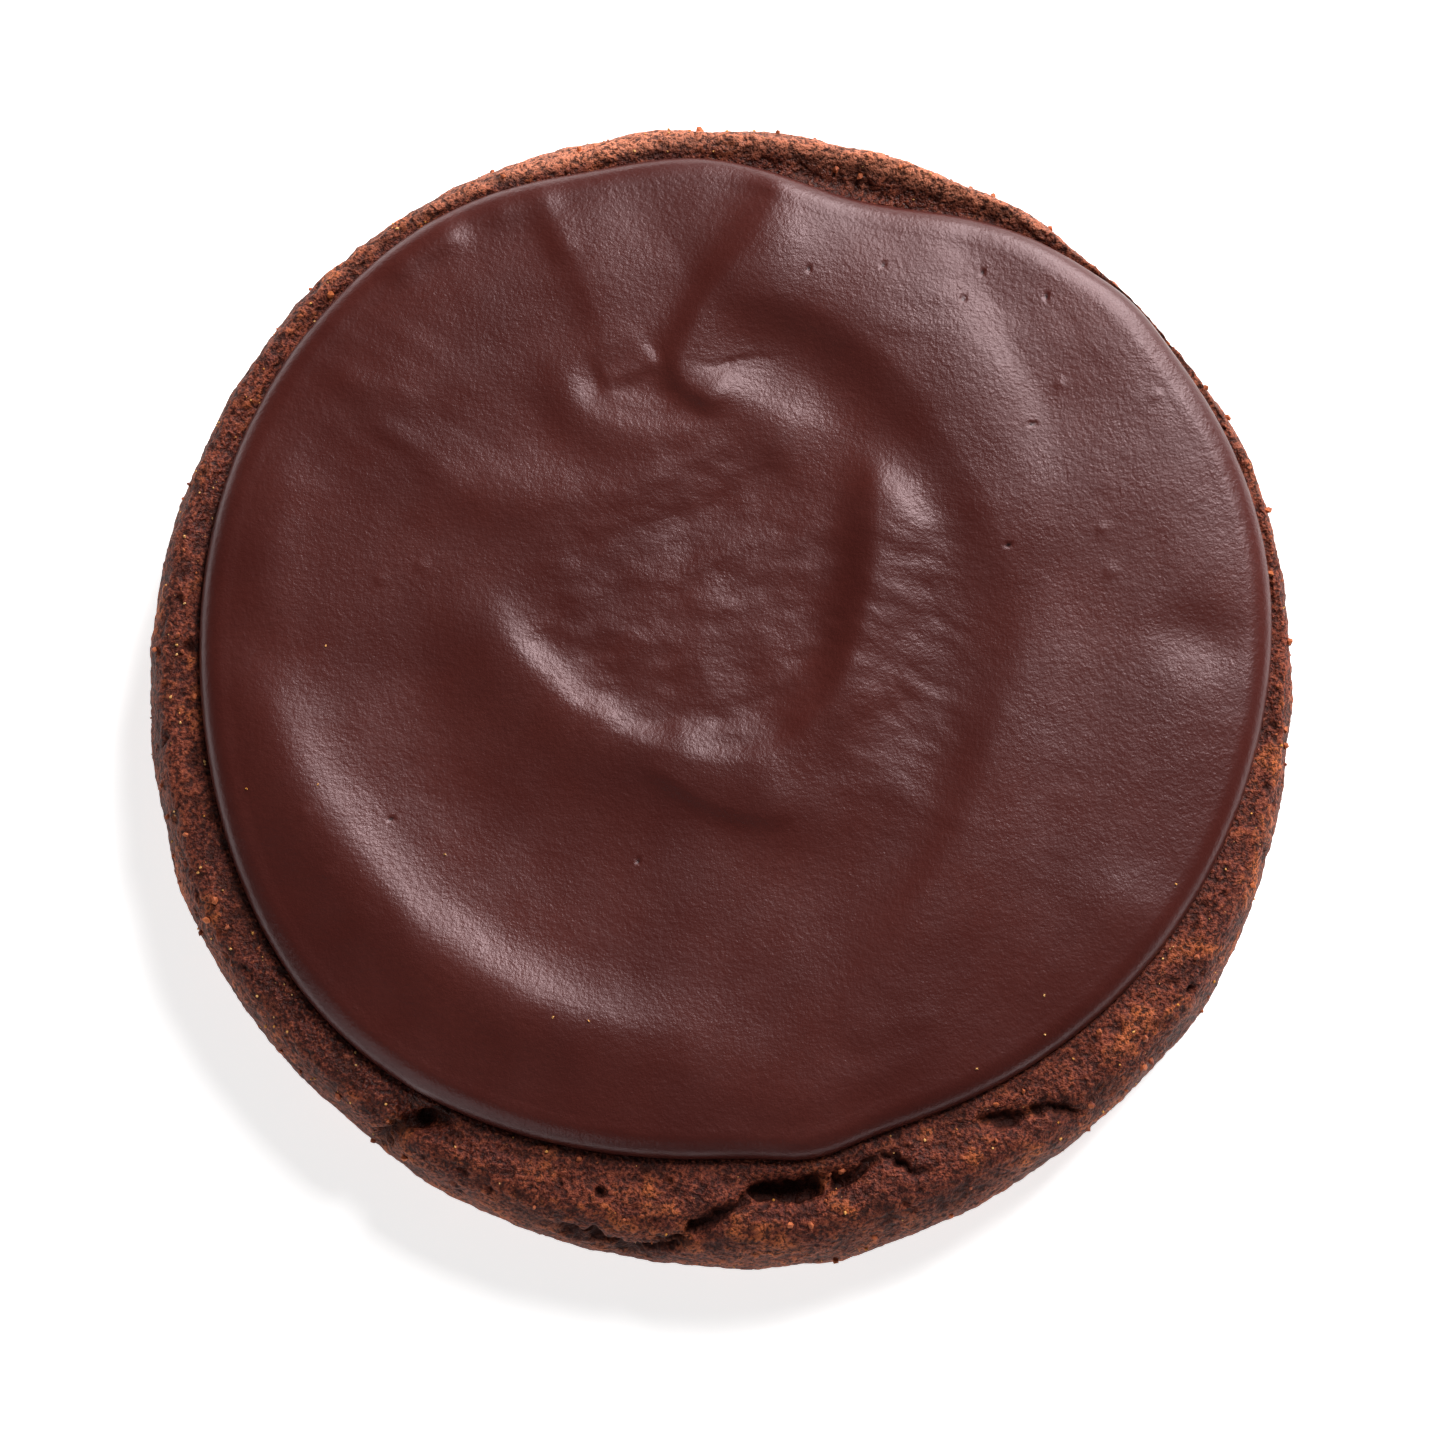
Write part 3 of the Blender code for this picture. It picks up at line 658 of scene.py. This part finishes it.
def icing_relief(x, y, swirl_depth):
    """Everything that the spoon drew in the icing."""
    places = np.column_stack([x, y, np.zeros_like(x)])
    drift_x = DRIFT * grain_noise(places, DRIFT_LENGTH)
    drift_y = DRIFT * grain_noise(places + 50, DRIFT_LENGTH)
    swirls = strokes_height(x + drift_x, y + drift_y, SPOON_STROKES + FINE_STROKES)
    waves = WAVE_HEIGHT * grain_noise(places + 90, WAVE_LENGTH)
    return swirl_depth * (swirls + waves + spoon_texture(x, y))


def dot_features(x, y, height):
    """Pull the nearest vertex down into each burst bubble and raise the whole ones, in place.

    Returns 1 at each vertex that is a burst bubble, where the material paints shade, and 0 elsewhere.
    """
    hole = np.zeros_like(x)
    for place in PINHOLES:
        nearest = np.argmin((x - place[0]) ** 2 + (y - place[1]) ** 2)
        x[nearest], y[nearest] = place
        height[nearest] -= PINHOLE_DEPTH
        hole[nearest] = 1
    for place in BUBBLES:
        away = (x - place[0]) ** 2 + (y - place[1]) ** 2
        height += BUBBLE_HEIGHT * np.exp(-away / BUBBLE_RADIUS ** 2)
    return hole


def icing_faces(rim, top_count, position_count):
    """Faces of the icing: grid on top, collar round it, rounded edge and underside."""
    side = ICING_CELLS + 1
    corner = (np.arange(ICING_CELLS)[:, None] * side + np.arange(ICING_CELLS)).ravel()
    cells = np.column_stack([corner, corner + 1, corner + 1 + side, corner + side]).tolist()
    ring = top_count + np.arange(len(rim))
    collar = np.column_stack([rim, ring, np.roll(ring, -1), np.roll(rim, -1)]).tolist()
    skirt = ring_faces(ICING_EDGE_ROWS, len(rim), top_count)
    under = list(range(position_count - len(rim), position_count))[::-1]
    return cells + collar + skirt + [under]


def build_icing(sizes, colours):
    """Fine icing with its swirls, rounded edge, burst bubbles and bubbles, in place of the plain solid."""
    share, turn = disc_places(ICING_CELLS)
    share = share.ravel()
    turn = turn.ravel()
    edge = icing_outline(np.degrees(turn) % 360)
    from_edge = EDGE_ROUND + (1 - share) * (ICING_RADIUS - EDGE_ROUND)
    radius = (1 - from_edge / ICING_RADIUS) * edge
    x = radius * np.cos(turn)
    y = radius * np.sin(turn)
    rise = MIDDLE_RISE * (1 - (1 - np.clip(from_edge / MIDDLE_RUN, 0, 1)) ** 2)
    thickness = EDGE_THICKNESS + rise + icing_relief(x, y, sizes.swirl_depth)
    hole = dot_features(x, y, thickness)
    base = BED_HEIGHT - ICING_SINK
    thickness = thickness + ICING_SINK + ICING_GAP
    top = np.column_stack([x, y, base + thickness])

    rim = disc_rim(ICING_CELLS)
    rings = [top]
    for angle in np.radians(np.linspace(90, EDGE_TUCK, ICING_EDGE_ROWS + 1))[1:]:
        out = (1 - EDGE_ROUND / ICING_RADIUS * (1 - math.cos(angle))) * edge[rim]
        level = base + thickness[rim] * np.clip(0.5 + 0.5 * math.sin(angle), 0, 1)
        rings.append(np.column_stack([out * np.cos(turn[rim]), out * np.sin(turn[rim]), level]))
    positions = np.vstack(rings)
    holes = np.concatenate([hole, np.zeros(len(positions) - len(top))])
    faces = icing_faces(rim, len(top), len(positions))
    mesh = pack_mesh("icing_swirled", positions, faces, {"hole": holes})
    piece = place_piece("icing_swirled", mesh, icing_material(colours))
    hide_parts("icing")
    return piece


def chip_template(seed, flatness):
    """Small faceted chip: an uneven low ball of unit size."""
    draw = np.random.default_rng(seed)
    golden = math.pi * (3 - math.sqrt(5))
    index = np.arange(CHIP_CORNERS)
    level = 1 - 2 * (index + 0.5) / CHIP_CORNERS
    ring = np.sqrt(1 - level ** 2)
    points = np.column_stack([ring * np.cos(golden * index), ring * np.sin(golden * index), level * flatness])
    return points * draw.uniform(0.7, 1.15, (CHIP_CORNERS, 1))


def hull_faces(points):
    """Outer triangles of a small cloud of points."""
    cloud = bmesh.new()
    for point in points:
        cloud.verts.new(point)
    bmesh.ops.convex_hull(cloud, input=cloud.verts)
    cloud.verts.index_update()
    faces = [[vertex.index for vertex in face.verts] for face in cloud.faces]
    cloud.free()
    return faces


def scattered_chips(scatter, places, normals, radii):
    """Mesh of many small chips, each turned its own way and set a little into the surface."""
    draw = np.random.default_rng(scatter.seed)
    kinds = []
    for kind in range(CHIP_KINDS):
        template = chip_template(scatter.seed + kind, scatter.flatness)
        kinds.append((template, hull_faces(template)))
    rows = []
    faces = []
    first = 0
    for place, normal, radius in zip(places, normals, radii):
        template, hull = kinds[draw.integers(len(kinds))]
        spin = Euler(draw.uniform(0, 2 * math.pi, 3)).to_matrix()
        lifted = place + normal * radius * scatter.lift
        rows.append(template @ np.array(spin).T * radius + lifted)
        faces.extend([[first + corner for corner in face] for face in hull])
        first += len(template)
    mesh = pack_mesh(scatter.name, np.vstack(rows), faces, {})
    mesh.shade_flat()
    return mesh


def surface_rows(piece):
    """Positions in millimetres and unit normals of a finished piece."""
    mesh = piece.data
    count = len(mesh.vertices)
    flat = np.empty(count * 3, np.float32)
    mesh.vertices.foreach_get("co", flat)
    positions = flat.reshape(-1, 3).astype(float) / MM
    normal = np.empty(count * 3, np.float32)
    mesh.vertex_normals.foreach_get("vector", normal)
    return positions, normal.reshape(-1, 3).astype(float)


def scatter_on_crust(scatter, count, largest):
    """Chips of random size, up to the largest in metres, on random vertices of a band of the crust."""
    crust = bpy.data.objects["crust"]
    positions, normals = surface_rows(crust)
    place = np.empty(len(positions), np.float32)
    crust.data.attributes["place"].data.foreach_get("value", place)
    draw = np.random.default_rng(scatter.seed)
    spots = np.flatnonzero((place > scatter.first_place) & (place < scatter.last_place))
    picked = draw.choice(spots, count, replace=False)
    radii = draw.uniform(scatter.smallest, 1.0, count) ** 2 * largest / MM / 2
    return scattered_chips(scatter, positions[picked], normals[picked], radii)


def build_sugar(sizes, colours):
    """Pale and golden sugar grains baked into the crust."""
    mesh = scatter_on_crust(SUGAR, sizes.sugar_count, sizes.sugar_size)
    return place_piece(SUGAR.name, mesh, sugar_material("sugar", colours))


def build_crumbs(sizes, colours):
    """Loose crumbs stuck to the crust."""
    mesh = scatter_on_crust(CRUMBS, sizes.crumb_count, sizes.crumb_size)
    return place_piece(CRUMBS.name, mesh, crumb_material(colours))


def build_flecks(sizes, colours):
    """Pale flecks on the icing, each on the highest vertex near its place."""
    positions, normals = surface_rows(bpy.data.objects["icing_swirled"])
    picked = []
    for x, y in FLECKS:
        away = np.hypot(positions[:, 0] - x, positions[:, 1] - y)
        picked.append(np.argmin(away - positions[:, 2]))
    radii = np.full(len(picked), FLECK_RADIUS)
    mesh = scattered_chips(FLECK_CHIPS, positions[picked], normals[picked], radii)
    return place_piece(FLECK_CHIPS.name, mesh, sugar_material("fleck", colours))


def new_material(name):
    """Material with one Principled shader; returns it with its tree and shader."""
    material = bpy.data.materials.get(name)
    if material:
        bpy.data.materials.remove(material)
    material = bpy.data.materials.new(name)
    material.use_nodes = True
    tree = material.node_tree
    return material, tree, tree.nodes["Principled BSDF"]


def set_inputs(tree, node, values):
    """Set a node's inputs by name or number; each value is a socket to link or a plain value."""
    for title, value in values.items():
        if isinstance(value, bpy.types.NodeSocket):
            tree.links.new(value, node.inputs[title])
        else:
            node.inputs[title].default_value = value


def noise_node(tree, scale, detail=2.0, roughness=0.5):
    """Noise over the piece, with lumps one millimetre across at scale 1000."""
    place = tree.nodes.new("ShaderNodeTexCoord").outputs["Object"]
    texture = tree.nodes.new("ShaderNodeTexNoise")
    set_inputs(tree, texture, {"Vector": place, "Scale": scale, "Detail": detail, "Roughness": roughness})
    return texture.outputs["Fac"]


def attribute_node(tree, title):
    """Number stored at each vertex."""
    reader = tree.nodes.new("ShaderNodeAttribute")
    reader.attribute_name = title
    return reader.outputs["Fac"]


def ramp_node(tree, value, low, high, start=0.0, end=1.0):
    """Value moved from the range low to high into start to end, and kept there."""
    ramp = tree.nodes.new("ShaderNodeMapRange")
    set_inputs(tree, ramp, {
        "Value": value, "From Min": low, "From Max": high, "To Min": start, "To Max": end})
    return ramp.outputs["Result"]


def mix_node(tree, share, first, second):
    """Mix of two colours by a socket's share; each colour is a socket or a plain colour."""
    mixer = tree.nodes.new("ShaderNodeMix")
    mixer.data_type = "RGBA"
    pair = [value if isinstance(value, bpy.types.NodeSocket) else (*value, 1) for value in (first, second)]
    set_inputs(tree, mixer, {"Factor": share, 6: pair[0], 7: pair[1]})
    return mixer.outputs[2]


def product_node(tree, first, second):
    """Product of two sockets."""
    step = tree.nodes.new("ShaderNodeMath")
    step.operation = "MULTIPLY"
    set_inputs(tree, step, {0: first, 1: second})
    return step.outputs[0]


def paint(tree, body, layers):
    """Lay colours over a body; each layer has a value, the range it sets in over, its most and its colour."""
    for value, low, high, most, colour in layers:
        body = mix_node(tree, ramp_node(tree, value, low, high, 0.0, most), body, colour)
    return body


def bump_node(tree, height, distance, strength=1.0, before=None):
    """Bump of that height, on top of another bump if one is given."""
    bump = tree.nodes.new("ShaderNodeBump")
    set_inputs(tree, bump, {"Height": height, "Distance": distance, "Strength": strength})
    if before:
        tree.links.new(before, bump.inputs["Normal"])
    return bump.outputs["Normal"]


def icing_material(colours):
    """Smooth set mocha icing: dark warm brown, satin, with fine paper-like grain and faint broad clouding."""
    material, tree, shader = new_material("mocha icing")
    colour = paint(tree, colours.icing_dark, (
        (noise_node(tree, 70, 3), 0.35, 0.65, 1.0, colours.icing_light),
        (noise_node(tree, 1800, 2, 0.6), 0.42, 0.62, 0.35, colours.icing_dark),
        # Painted shade inside the burst bubbles
        (attribute_node(tree, "hole"), 0.0, 1.0, 1.0, colours.icing_hole_shade)))
    grain = bump_node(tree, noise_node(tree, 1900, 3, 0.55), 0.00006, 0.7)
    set_inputs(tree, shader, {
        "Base Color": colour,
        "Roughness": ramp_node(tree, noise_node(tree, 240, 3), 0.3, 0.7, 0.31, 0.37),
        "IOR": 1.5,
        "Specular Tint": (1.0, 0.80, 0.84, 1.0),
        "Normal": bump_node(tree, noise_node(tree, 4600, 2, 0.6), 0.00004, 0.6, grain)})
    return material


def crust_material(colours):
    """Baked chocolate crust: fine crumb with painted shade in its gaps and painted light on its grain tops,
    rusty patches, wet with painted shade by the icing, rim painted light toward the lights, tan at the side.
    """
    material, tree, shader = new_material("baked crust")
    place = attribute_node(tree, "place")
    moist = attribute_node(tree, "moist")
    hollow = attribute_node(tree, "hollow")
    pale = attribute_node(tree, "pale")
    relief = attribute_node(tree, "relief")
    grain = noise_node(tree, 3000, 2, 0.6)
    crumb = noise_node(tree, 1300, 3, 0.6)
    patches = ramp_node(tree, noise_node(tree, 190, 4, 0.6), 0.47, 0.58)
    rust = product_node(tree, patches, ramp_node(tree, relief, 0.45, 0.62))
    rust = product_node(tree, rust, ramp_node(tree, place, 1.0, 1.3, 0.85, 0.35))
    mottle = ramp_node(tree, noise_node(tree, 330, 4, 0.65), 0.55, 0.42, 0.0, 0.7)
    mottle = product_node(tree, mottle, ramp_node(tree, pale, 0.2, 0.9, 1.0, 0.0))
    colour = paint(tree, colours.crust, (
        (place, 0.75, 1.1, 1.0, colours.crust_side),
        (rust, 0.0, 1.0, 1.0, colours.crust_rust),
        # Painted light: the rim on the side facing the lights is painted paler
        (pale, 0.0, 1.0, 0.8, colours.crust_lit_rim),
        (mottle, 0.0, 1.0, 1.0, colours.crust_damp_and_shade),
        # Painted shade, partly real damp: darker beside the icing, on the inner slope and at the lower left,
        # away from the lights
        (moist, 0.0, 1.0, 0.85, colours.crust_damp_and_shade),
        # Painted light on the grain tops, where the grain bump stands highest
        (grain, 0.54, 0.68, 0.6, colours.crust_grain_tops_lit),
        # Painted shade in the gaps between grains and crumb, in low relief, and in pits and cracks
        (grain, 0.5, 0.4, 0.85, colours.crust_gap_shade),
        (crumb, 0.48, 0.36, 0.8, colours.crust_gap_shade),
        (relief, 0.45, 0.2, 0.6, colours.crust_gap_shade),
        (hollow, 0.0, 1.0, 0.85, colours.crust_gap_shade)))
    coarse = bump_node(tree, crumb, 0.00045, 0.9)
    set_inputs(tree, shader, {
        "Base Color": colour,
        "Roughness": ramp_node(tree, moist, 0.0, 1.0, 0.7, 0.35),
        "IOR": 1.45,
        "Specular IOR Level": 0.24,
        "Normal": bump_node(tree, grain, 0.00028, 1.0, coarse)})
    return material


def sugar_material(name, colours):
    """Pale to golden sugar."""
    material, tree, shader = new_material(name)
    tint = ramp_node(tree, noise_node(tree, 900, 1), 0.35, 0.65)
    set_inputs(tree, shader, {
        "Base Color": mix_node(tree, tint, colours.sugar_pale, colours.sugar_gold),
        "Roughness": 0.8,
        "IOR": 1.54,
        "Specular IOR Level": 0.06,
        "Normal": bump_node(tree, noise_node(tree, 4000, 1), 0.00002, 0.5)})
    return material


def crumb_material(colours):
    """Loose crumbs of the same dough."""
    material, tree, shader = new_material("crumb")
    tint = ramp_node(tree, noise_node(tree, 700, 3), 0.35, 0.65)
    set_inputs(tree, shader, {
        "Base Color": mix_node(tree, tint, colours.crust, colours.crust_rust),
        "Roughness": 0.75,
        "Normal": bump_node(tree, noise_node(tree, 3000, 2), 0.00005, 0.7)})
    return material


def floor_material(colours):
    """Plain pale floor."""
    material, tree, shader = new_material("pale floor")
    tint = ramp_node(tree, noise_node(tree, 3, 1), 0.3, 0.7)
    colour = mix_node(tree, tint, colours.floor, tuple(0.99 * part for part in colours.floor))
    set_inputs(tree, shader, {
        "Base Color": colour, "Emission Color": colour, "Emission Strength": FLOOR_GLOW, "Roughness": 0.9})
    return material


def look_from(holder, direction, elevation, distance, target=(0, 0, 0)):
    """Set a light or camera at a distance from its target, facing it; the angles are in degrees."""
    turn = math.radians(direction)
    rise = math.radians(elevation)
    way = Vector((math.cos(rise) * math.cos(turn), math.cos(rise) * math.sin(turn), math.sin(rise)))
    holder.location = Vector(target) + way * distance
    holder.rotation_euler = way.to_track_quat("Z", "Y").to_euler()


def soft_light(light, power):
    """Square soft light aimed at the cookie."""
    lamp = bpy.data.lights.new(light.name, "AREA")
    lamp.shape = "SQUARE"
    lamp.size = light.width
    lamp.energy = power
    lamp.color = light.tint
    look_from(add_object(light.name, lamp), light.direction, light.elevation, light.distance)


def lay_floor(sizes, colours):
    """Plain pale floor under the cookie."""
    mesh = bpy.data.meshes.new("floor")
    half = sizes.floor_size / 2
    corners = [(-half, -half, 0), (half, -half, 0), (half, half, 0), (-half, half, 0)]
    mesh.from_pydata(corners, [], [(0, 1, 2, 3)])
    floor = add_object("floor", mesh)
    floor.data.materials.append(floor_material(colours))


def surround(brightness):
    """Even white surroundings."""
    world = bpy.data.worlds.new("surroundings")
    world.use_nodes = True
    tree = world.node_tree
    set_inputs(tree, tree.nodes["Background"], {"Color": (1, 1, 1, 1), "Strength": brightness})
    bpy.context.scene.world = world


def place_camera():
    """Camera at the photograph's angle."""
    lens = bpy.data.cameras.new("camera")
    lens.lens = CAMERA_LENS
    lens.sensor_width = CAMERA_SENSOR
    lens.clip_start = 0.01
    lens.clip_end = 10
    camera = add_object("camera", lens)
    look_from(camera, CAMERA_DIRECTION, CAMERA_ELEVATION, CAMERA_DISTANCE, CAMERA_TARGET)
    bpy.context.scene.camera = camera


def build_stage(sizes, colours):
    """Pale floor, soft studio lights, plain surroundings and the camera."""
    lay_floor(sizes, colours)
    soft_light(KEY_LIGHT, sizes.key_power)
    soft_light(LOW_LIGHT, sizes.low_power)
    soft_light(FILL_LIGHT, sizes.fill_power)
    surround(sizes.surroundings)
    place_camera()
    bpy.context.scene.view_settings.view_transform = "Standard"
    bpy.context.scene.view_settings.look = "None"


class MochaCookieSizes(bpy.types.PropertyGroup):
    """Sizes and amounts that a user may change."""

    swirl_depth: FloatProperty(
        name="Swirl depth", description="Depth of the spoon swirls, as a share of the modelled depth",
        default=1.0, min=0.0, max=1.5)
    crumb_depth: FloatProperty(
        name="Crumb depth", description="Depth of the crust's fine relief, as a share of the modelled depth",
        default=1.0, min=0.0, max=2.0)
    sugar_count: IntProperty(
        name="Sugar grains", description="Number of sugar grains on the crust", default=260, min=1, max=3000)
    sugar_size: FloatProperty(
        name="Sugar size", description="Width of the largest sugar grain", default=0.0004, subtype="DISTANCE")
    crumb_count: IntProperty(
        name="Crumbs", description="Number of loose crumbs on the crust", default=160, min=1, max=2000)
    crumb_size: FloatProperty(
        name="Crumb size", description="Width of the largest crumb", default=0.0009, subtype="DISTANCE")
    floor_size: FloatProperty(
        name="Floor size", description="Width of the floor", default=3.0, subtype="DISTANCE")
    key_power: FloatProperty(
        name="Key light", description="Power of the main soft light, high at the upper right",
        default=22.0, unit="POWER")
    low_power: FloatProperty(
        name="Low light", description="Power of the soft light below the main one",
        default=42.0, unit="POWER")
    fill_power: FloatProperty(
        name="Fill light", description="Power of the low soft light at the other side",
        default=6.0, unit="POWER")
    surroundings: FloatProperty(
        name="Surroundings", description="Brightness of the plain surroundings", default=0.05, min=0.0)


def colour_property(title, words, value):
    """Colour that a user may change."""
    return FloatVectorProperty(
        name=title, description=words, default=value, subtype="COLOR", size=3, min=0, max=1)


class MochaCookieColours(bpy.types.PropertyGroup):
    """Colours that a user may change."""

    icing_dark: colour_property("Icing, dark", "Darker tone of the icing", (0.057, 0.0092, 0.0066))
    icing_light: colour_property("Icing, light", "Lighter tone of the icing", (0.074, 0.0138, 0.0101))
    # Painted shade inside the burst bubbles
    icing_hole_shade: colour_property("Icing, holes", "Inside of the burst bubbles", (0.004, 0.0015, 0.0015))
    crust: colour_property("Crust", "Crust on top", (0.205, 0.042, 0.021))
    # Painted light on the tops of the grains
    crust_grain_tops_lit: colour_property("Crust, light", "Lighter grains of the crust", (0.44, 0.118, 0.058))
    crust_side: colour_property("Crust side", "Crust on the side", (0.28, 0.082, 0.042))
    crust_rust: colour_property("Crust, browned", "Browned patches of the crust", (0.60, 0.150, 0.042))
    # Painted light on the rim facing the lights
    crust_lit_rim: colour_property("Crust, pale", "Paler rim of the crust at the top", (0.78, 0.28, 0.16))
    # Damp crust with painted shade beside the icing and away from the lights; also used for the dark mottling
    crust_damp_and_shade: colour_property("Crust, moist", "Moist crust beside the icing", (0.100, 0.020, 0.015))
    # Painted shade in the gaps between grains, in pits and cracks
    crust_gap_shade: colour_property("Crust, gaps", "Dark gaps between the grains", (0.026, 0.0054, 0.0036))
    sugar_pale: colour_property("Sugar, pale", "Pale sugar", (0.80, 0.46, 0.18))
    sugar_gold: colour_property("Sugar, golden", "Golden sugar", (0.72, 0.30, 0.06))
    floor: colour_property("Floor", "Floor of the studio", (0.92, 0.92, 0.92))


class CookieOperator:
    """Shared way of running one builder with the scene's sizes and colours."""

    bl_options = {"REGISTER", "UNDO"}

    def execute(self, context):
        type(self).build(context.scene.mocha_cookie_sizes, context.scene.mocha_cookie_colours)
        return {"FINISHED"}


class MOCHA_OT_crust(CookieOperator, bpy.types.Operator):
    """Build the fine crust in place of the plain cookie solid"""

    bl_idname = "mocha.crust"
    bl_label = "Build crust"
    build = staticmethod(build_crust)


class MOCHA_OT_icing(CookieOperator, bpy.types.Operator):
    """Build the swirled icing in place of the plain icing solid"""

    bl_idname = "mocha.icing"
    bl_label = "Build icing"
    build = staticmethod(build_icing)


class MOCHA_OT_sugar(CookieOperator, bpy.types.Operator):
    """Scatter sugar grains over the crust"""

    bl_idname = "mocha.sugar"
    bl_label = "Scatter sugar"
    build = staticmethod(build_sugar)


class MOCHA_OT_crumbs(CookieOperator, bpy.types.Operator):
    """Scatter loose crumbs over the crust"""

    bl_idname = "mocha.crumbs"
    bl_label = "Scatter crumbs"
    build = staticmethod(build_crumbs)


class MOCHA_OT_flecks(CookieOperator, bpy.types.Operator):
    """Set the pale flecks on the icing"""

    bl_idname = "mocha.flecks"
    bl_label = "Set flecks"
    build = staticmethod(build_flecks)


class MOCHA_OT_stage(CookieOperator, bpy.types.Operator):
    """Build the floor, the lights and the camera"""

    bl_idname = "mocha.stage"
    bl_label = "Build studio"
    build = staticmethod(build_stage)


OPERATORS = (MOCHA_OT_crust, MOCHA_OT_icing, MOCHA_OT_sugar, MOCHA_OT_crumbs, MOCHA_OT_flecks, MOCHA_OT_stage)


class MOCHA_PT_cookie(bpy.types.Panel):
    """Panel that lists the builders in order, with the sizes and colours"""

    bl_idname = "MOCHA_PT_cookie"
    bl_label = "Mocha cookie"
    bl_space_type = "VIEW_3D"
    bl_region_type = "UI"
    bl_category = "Cookie"

    def draw(self, context):
        layout = self.layout
        for operator in OPERATORS:
            layout.operator(operator.bl_idname)
        for group in (context.scene.mocha_cookie_sizes, context.scene.mocha_cookie_colours):
            box = layout.box()
            for key in group.__annotations__:
                box.prop(group, key)


CLASSES = (MochaCookieSizes, MochaCookieColours, *OPERATORS, MOCHA_PT_cookie)


def register():
    """Add the properties, operators and panel."""
    for entry in CLASSES:
        bpy.utils.register_class(entry)
    bpy.types.Scene.mocha_cookie_sizes = PointerProperty(type=MochaCookieSizes)
    bpy.types.Scene.mocha_cookie_colours = PointerProperty(type=MochaCookieColours)


def unregister():
    """Take them away again."""
    del bpy.types.Scene.mocha_cookie_colours
    del bpy.types.Scene.mocha_cookie_sizes
    for entry in reversed(CLASSES):
        bpy.utils.unregister_class(entry)


def main():
    """Build every piece and the stage in order."""
    register()
    bpy.ops.mocha.crust()
    bpy.ops.mocha.icing()
    bpy.ops.mocha.sugar()
    bpy.ops.mocha.crumbs()
    bpy.ops.mocha.flecks()
    bpy.ops.mocha.stage()


if __name__ == "__main__":
    main()
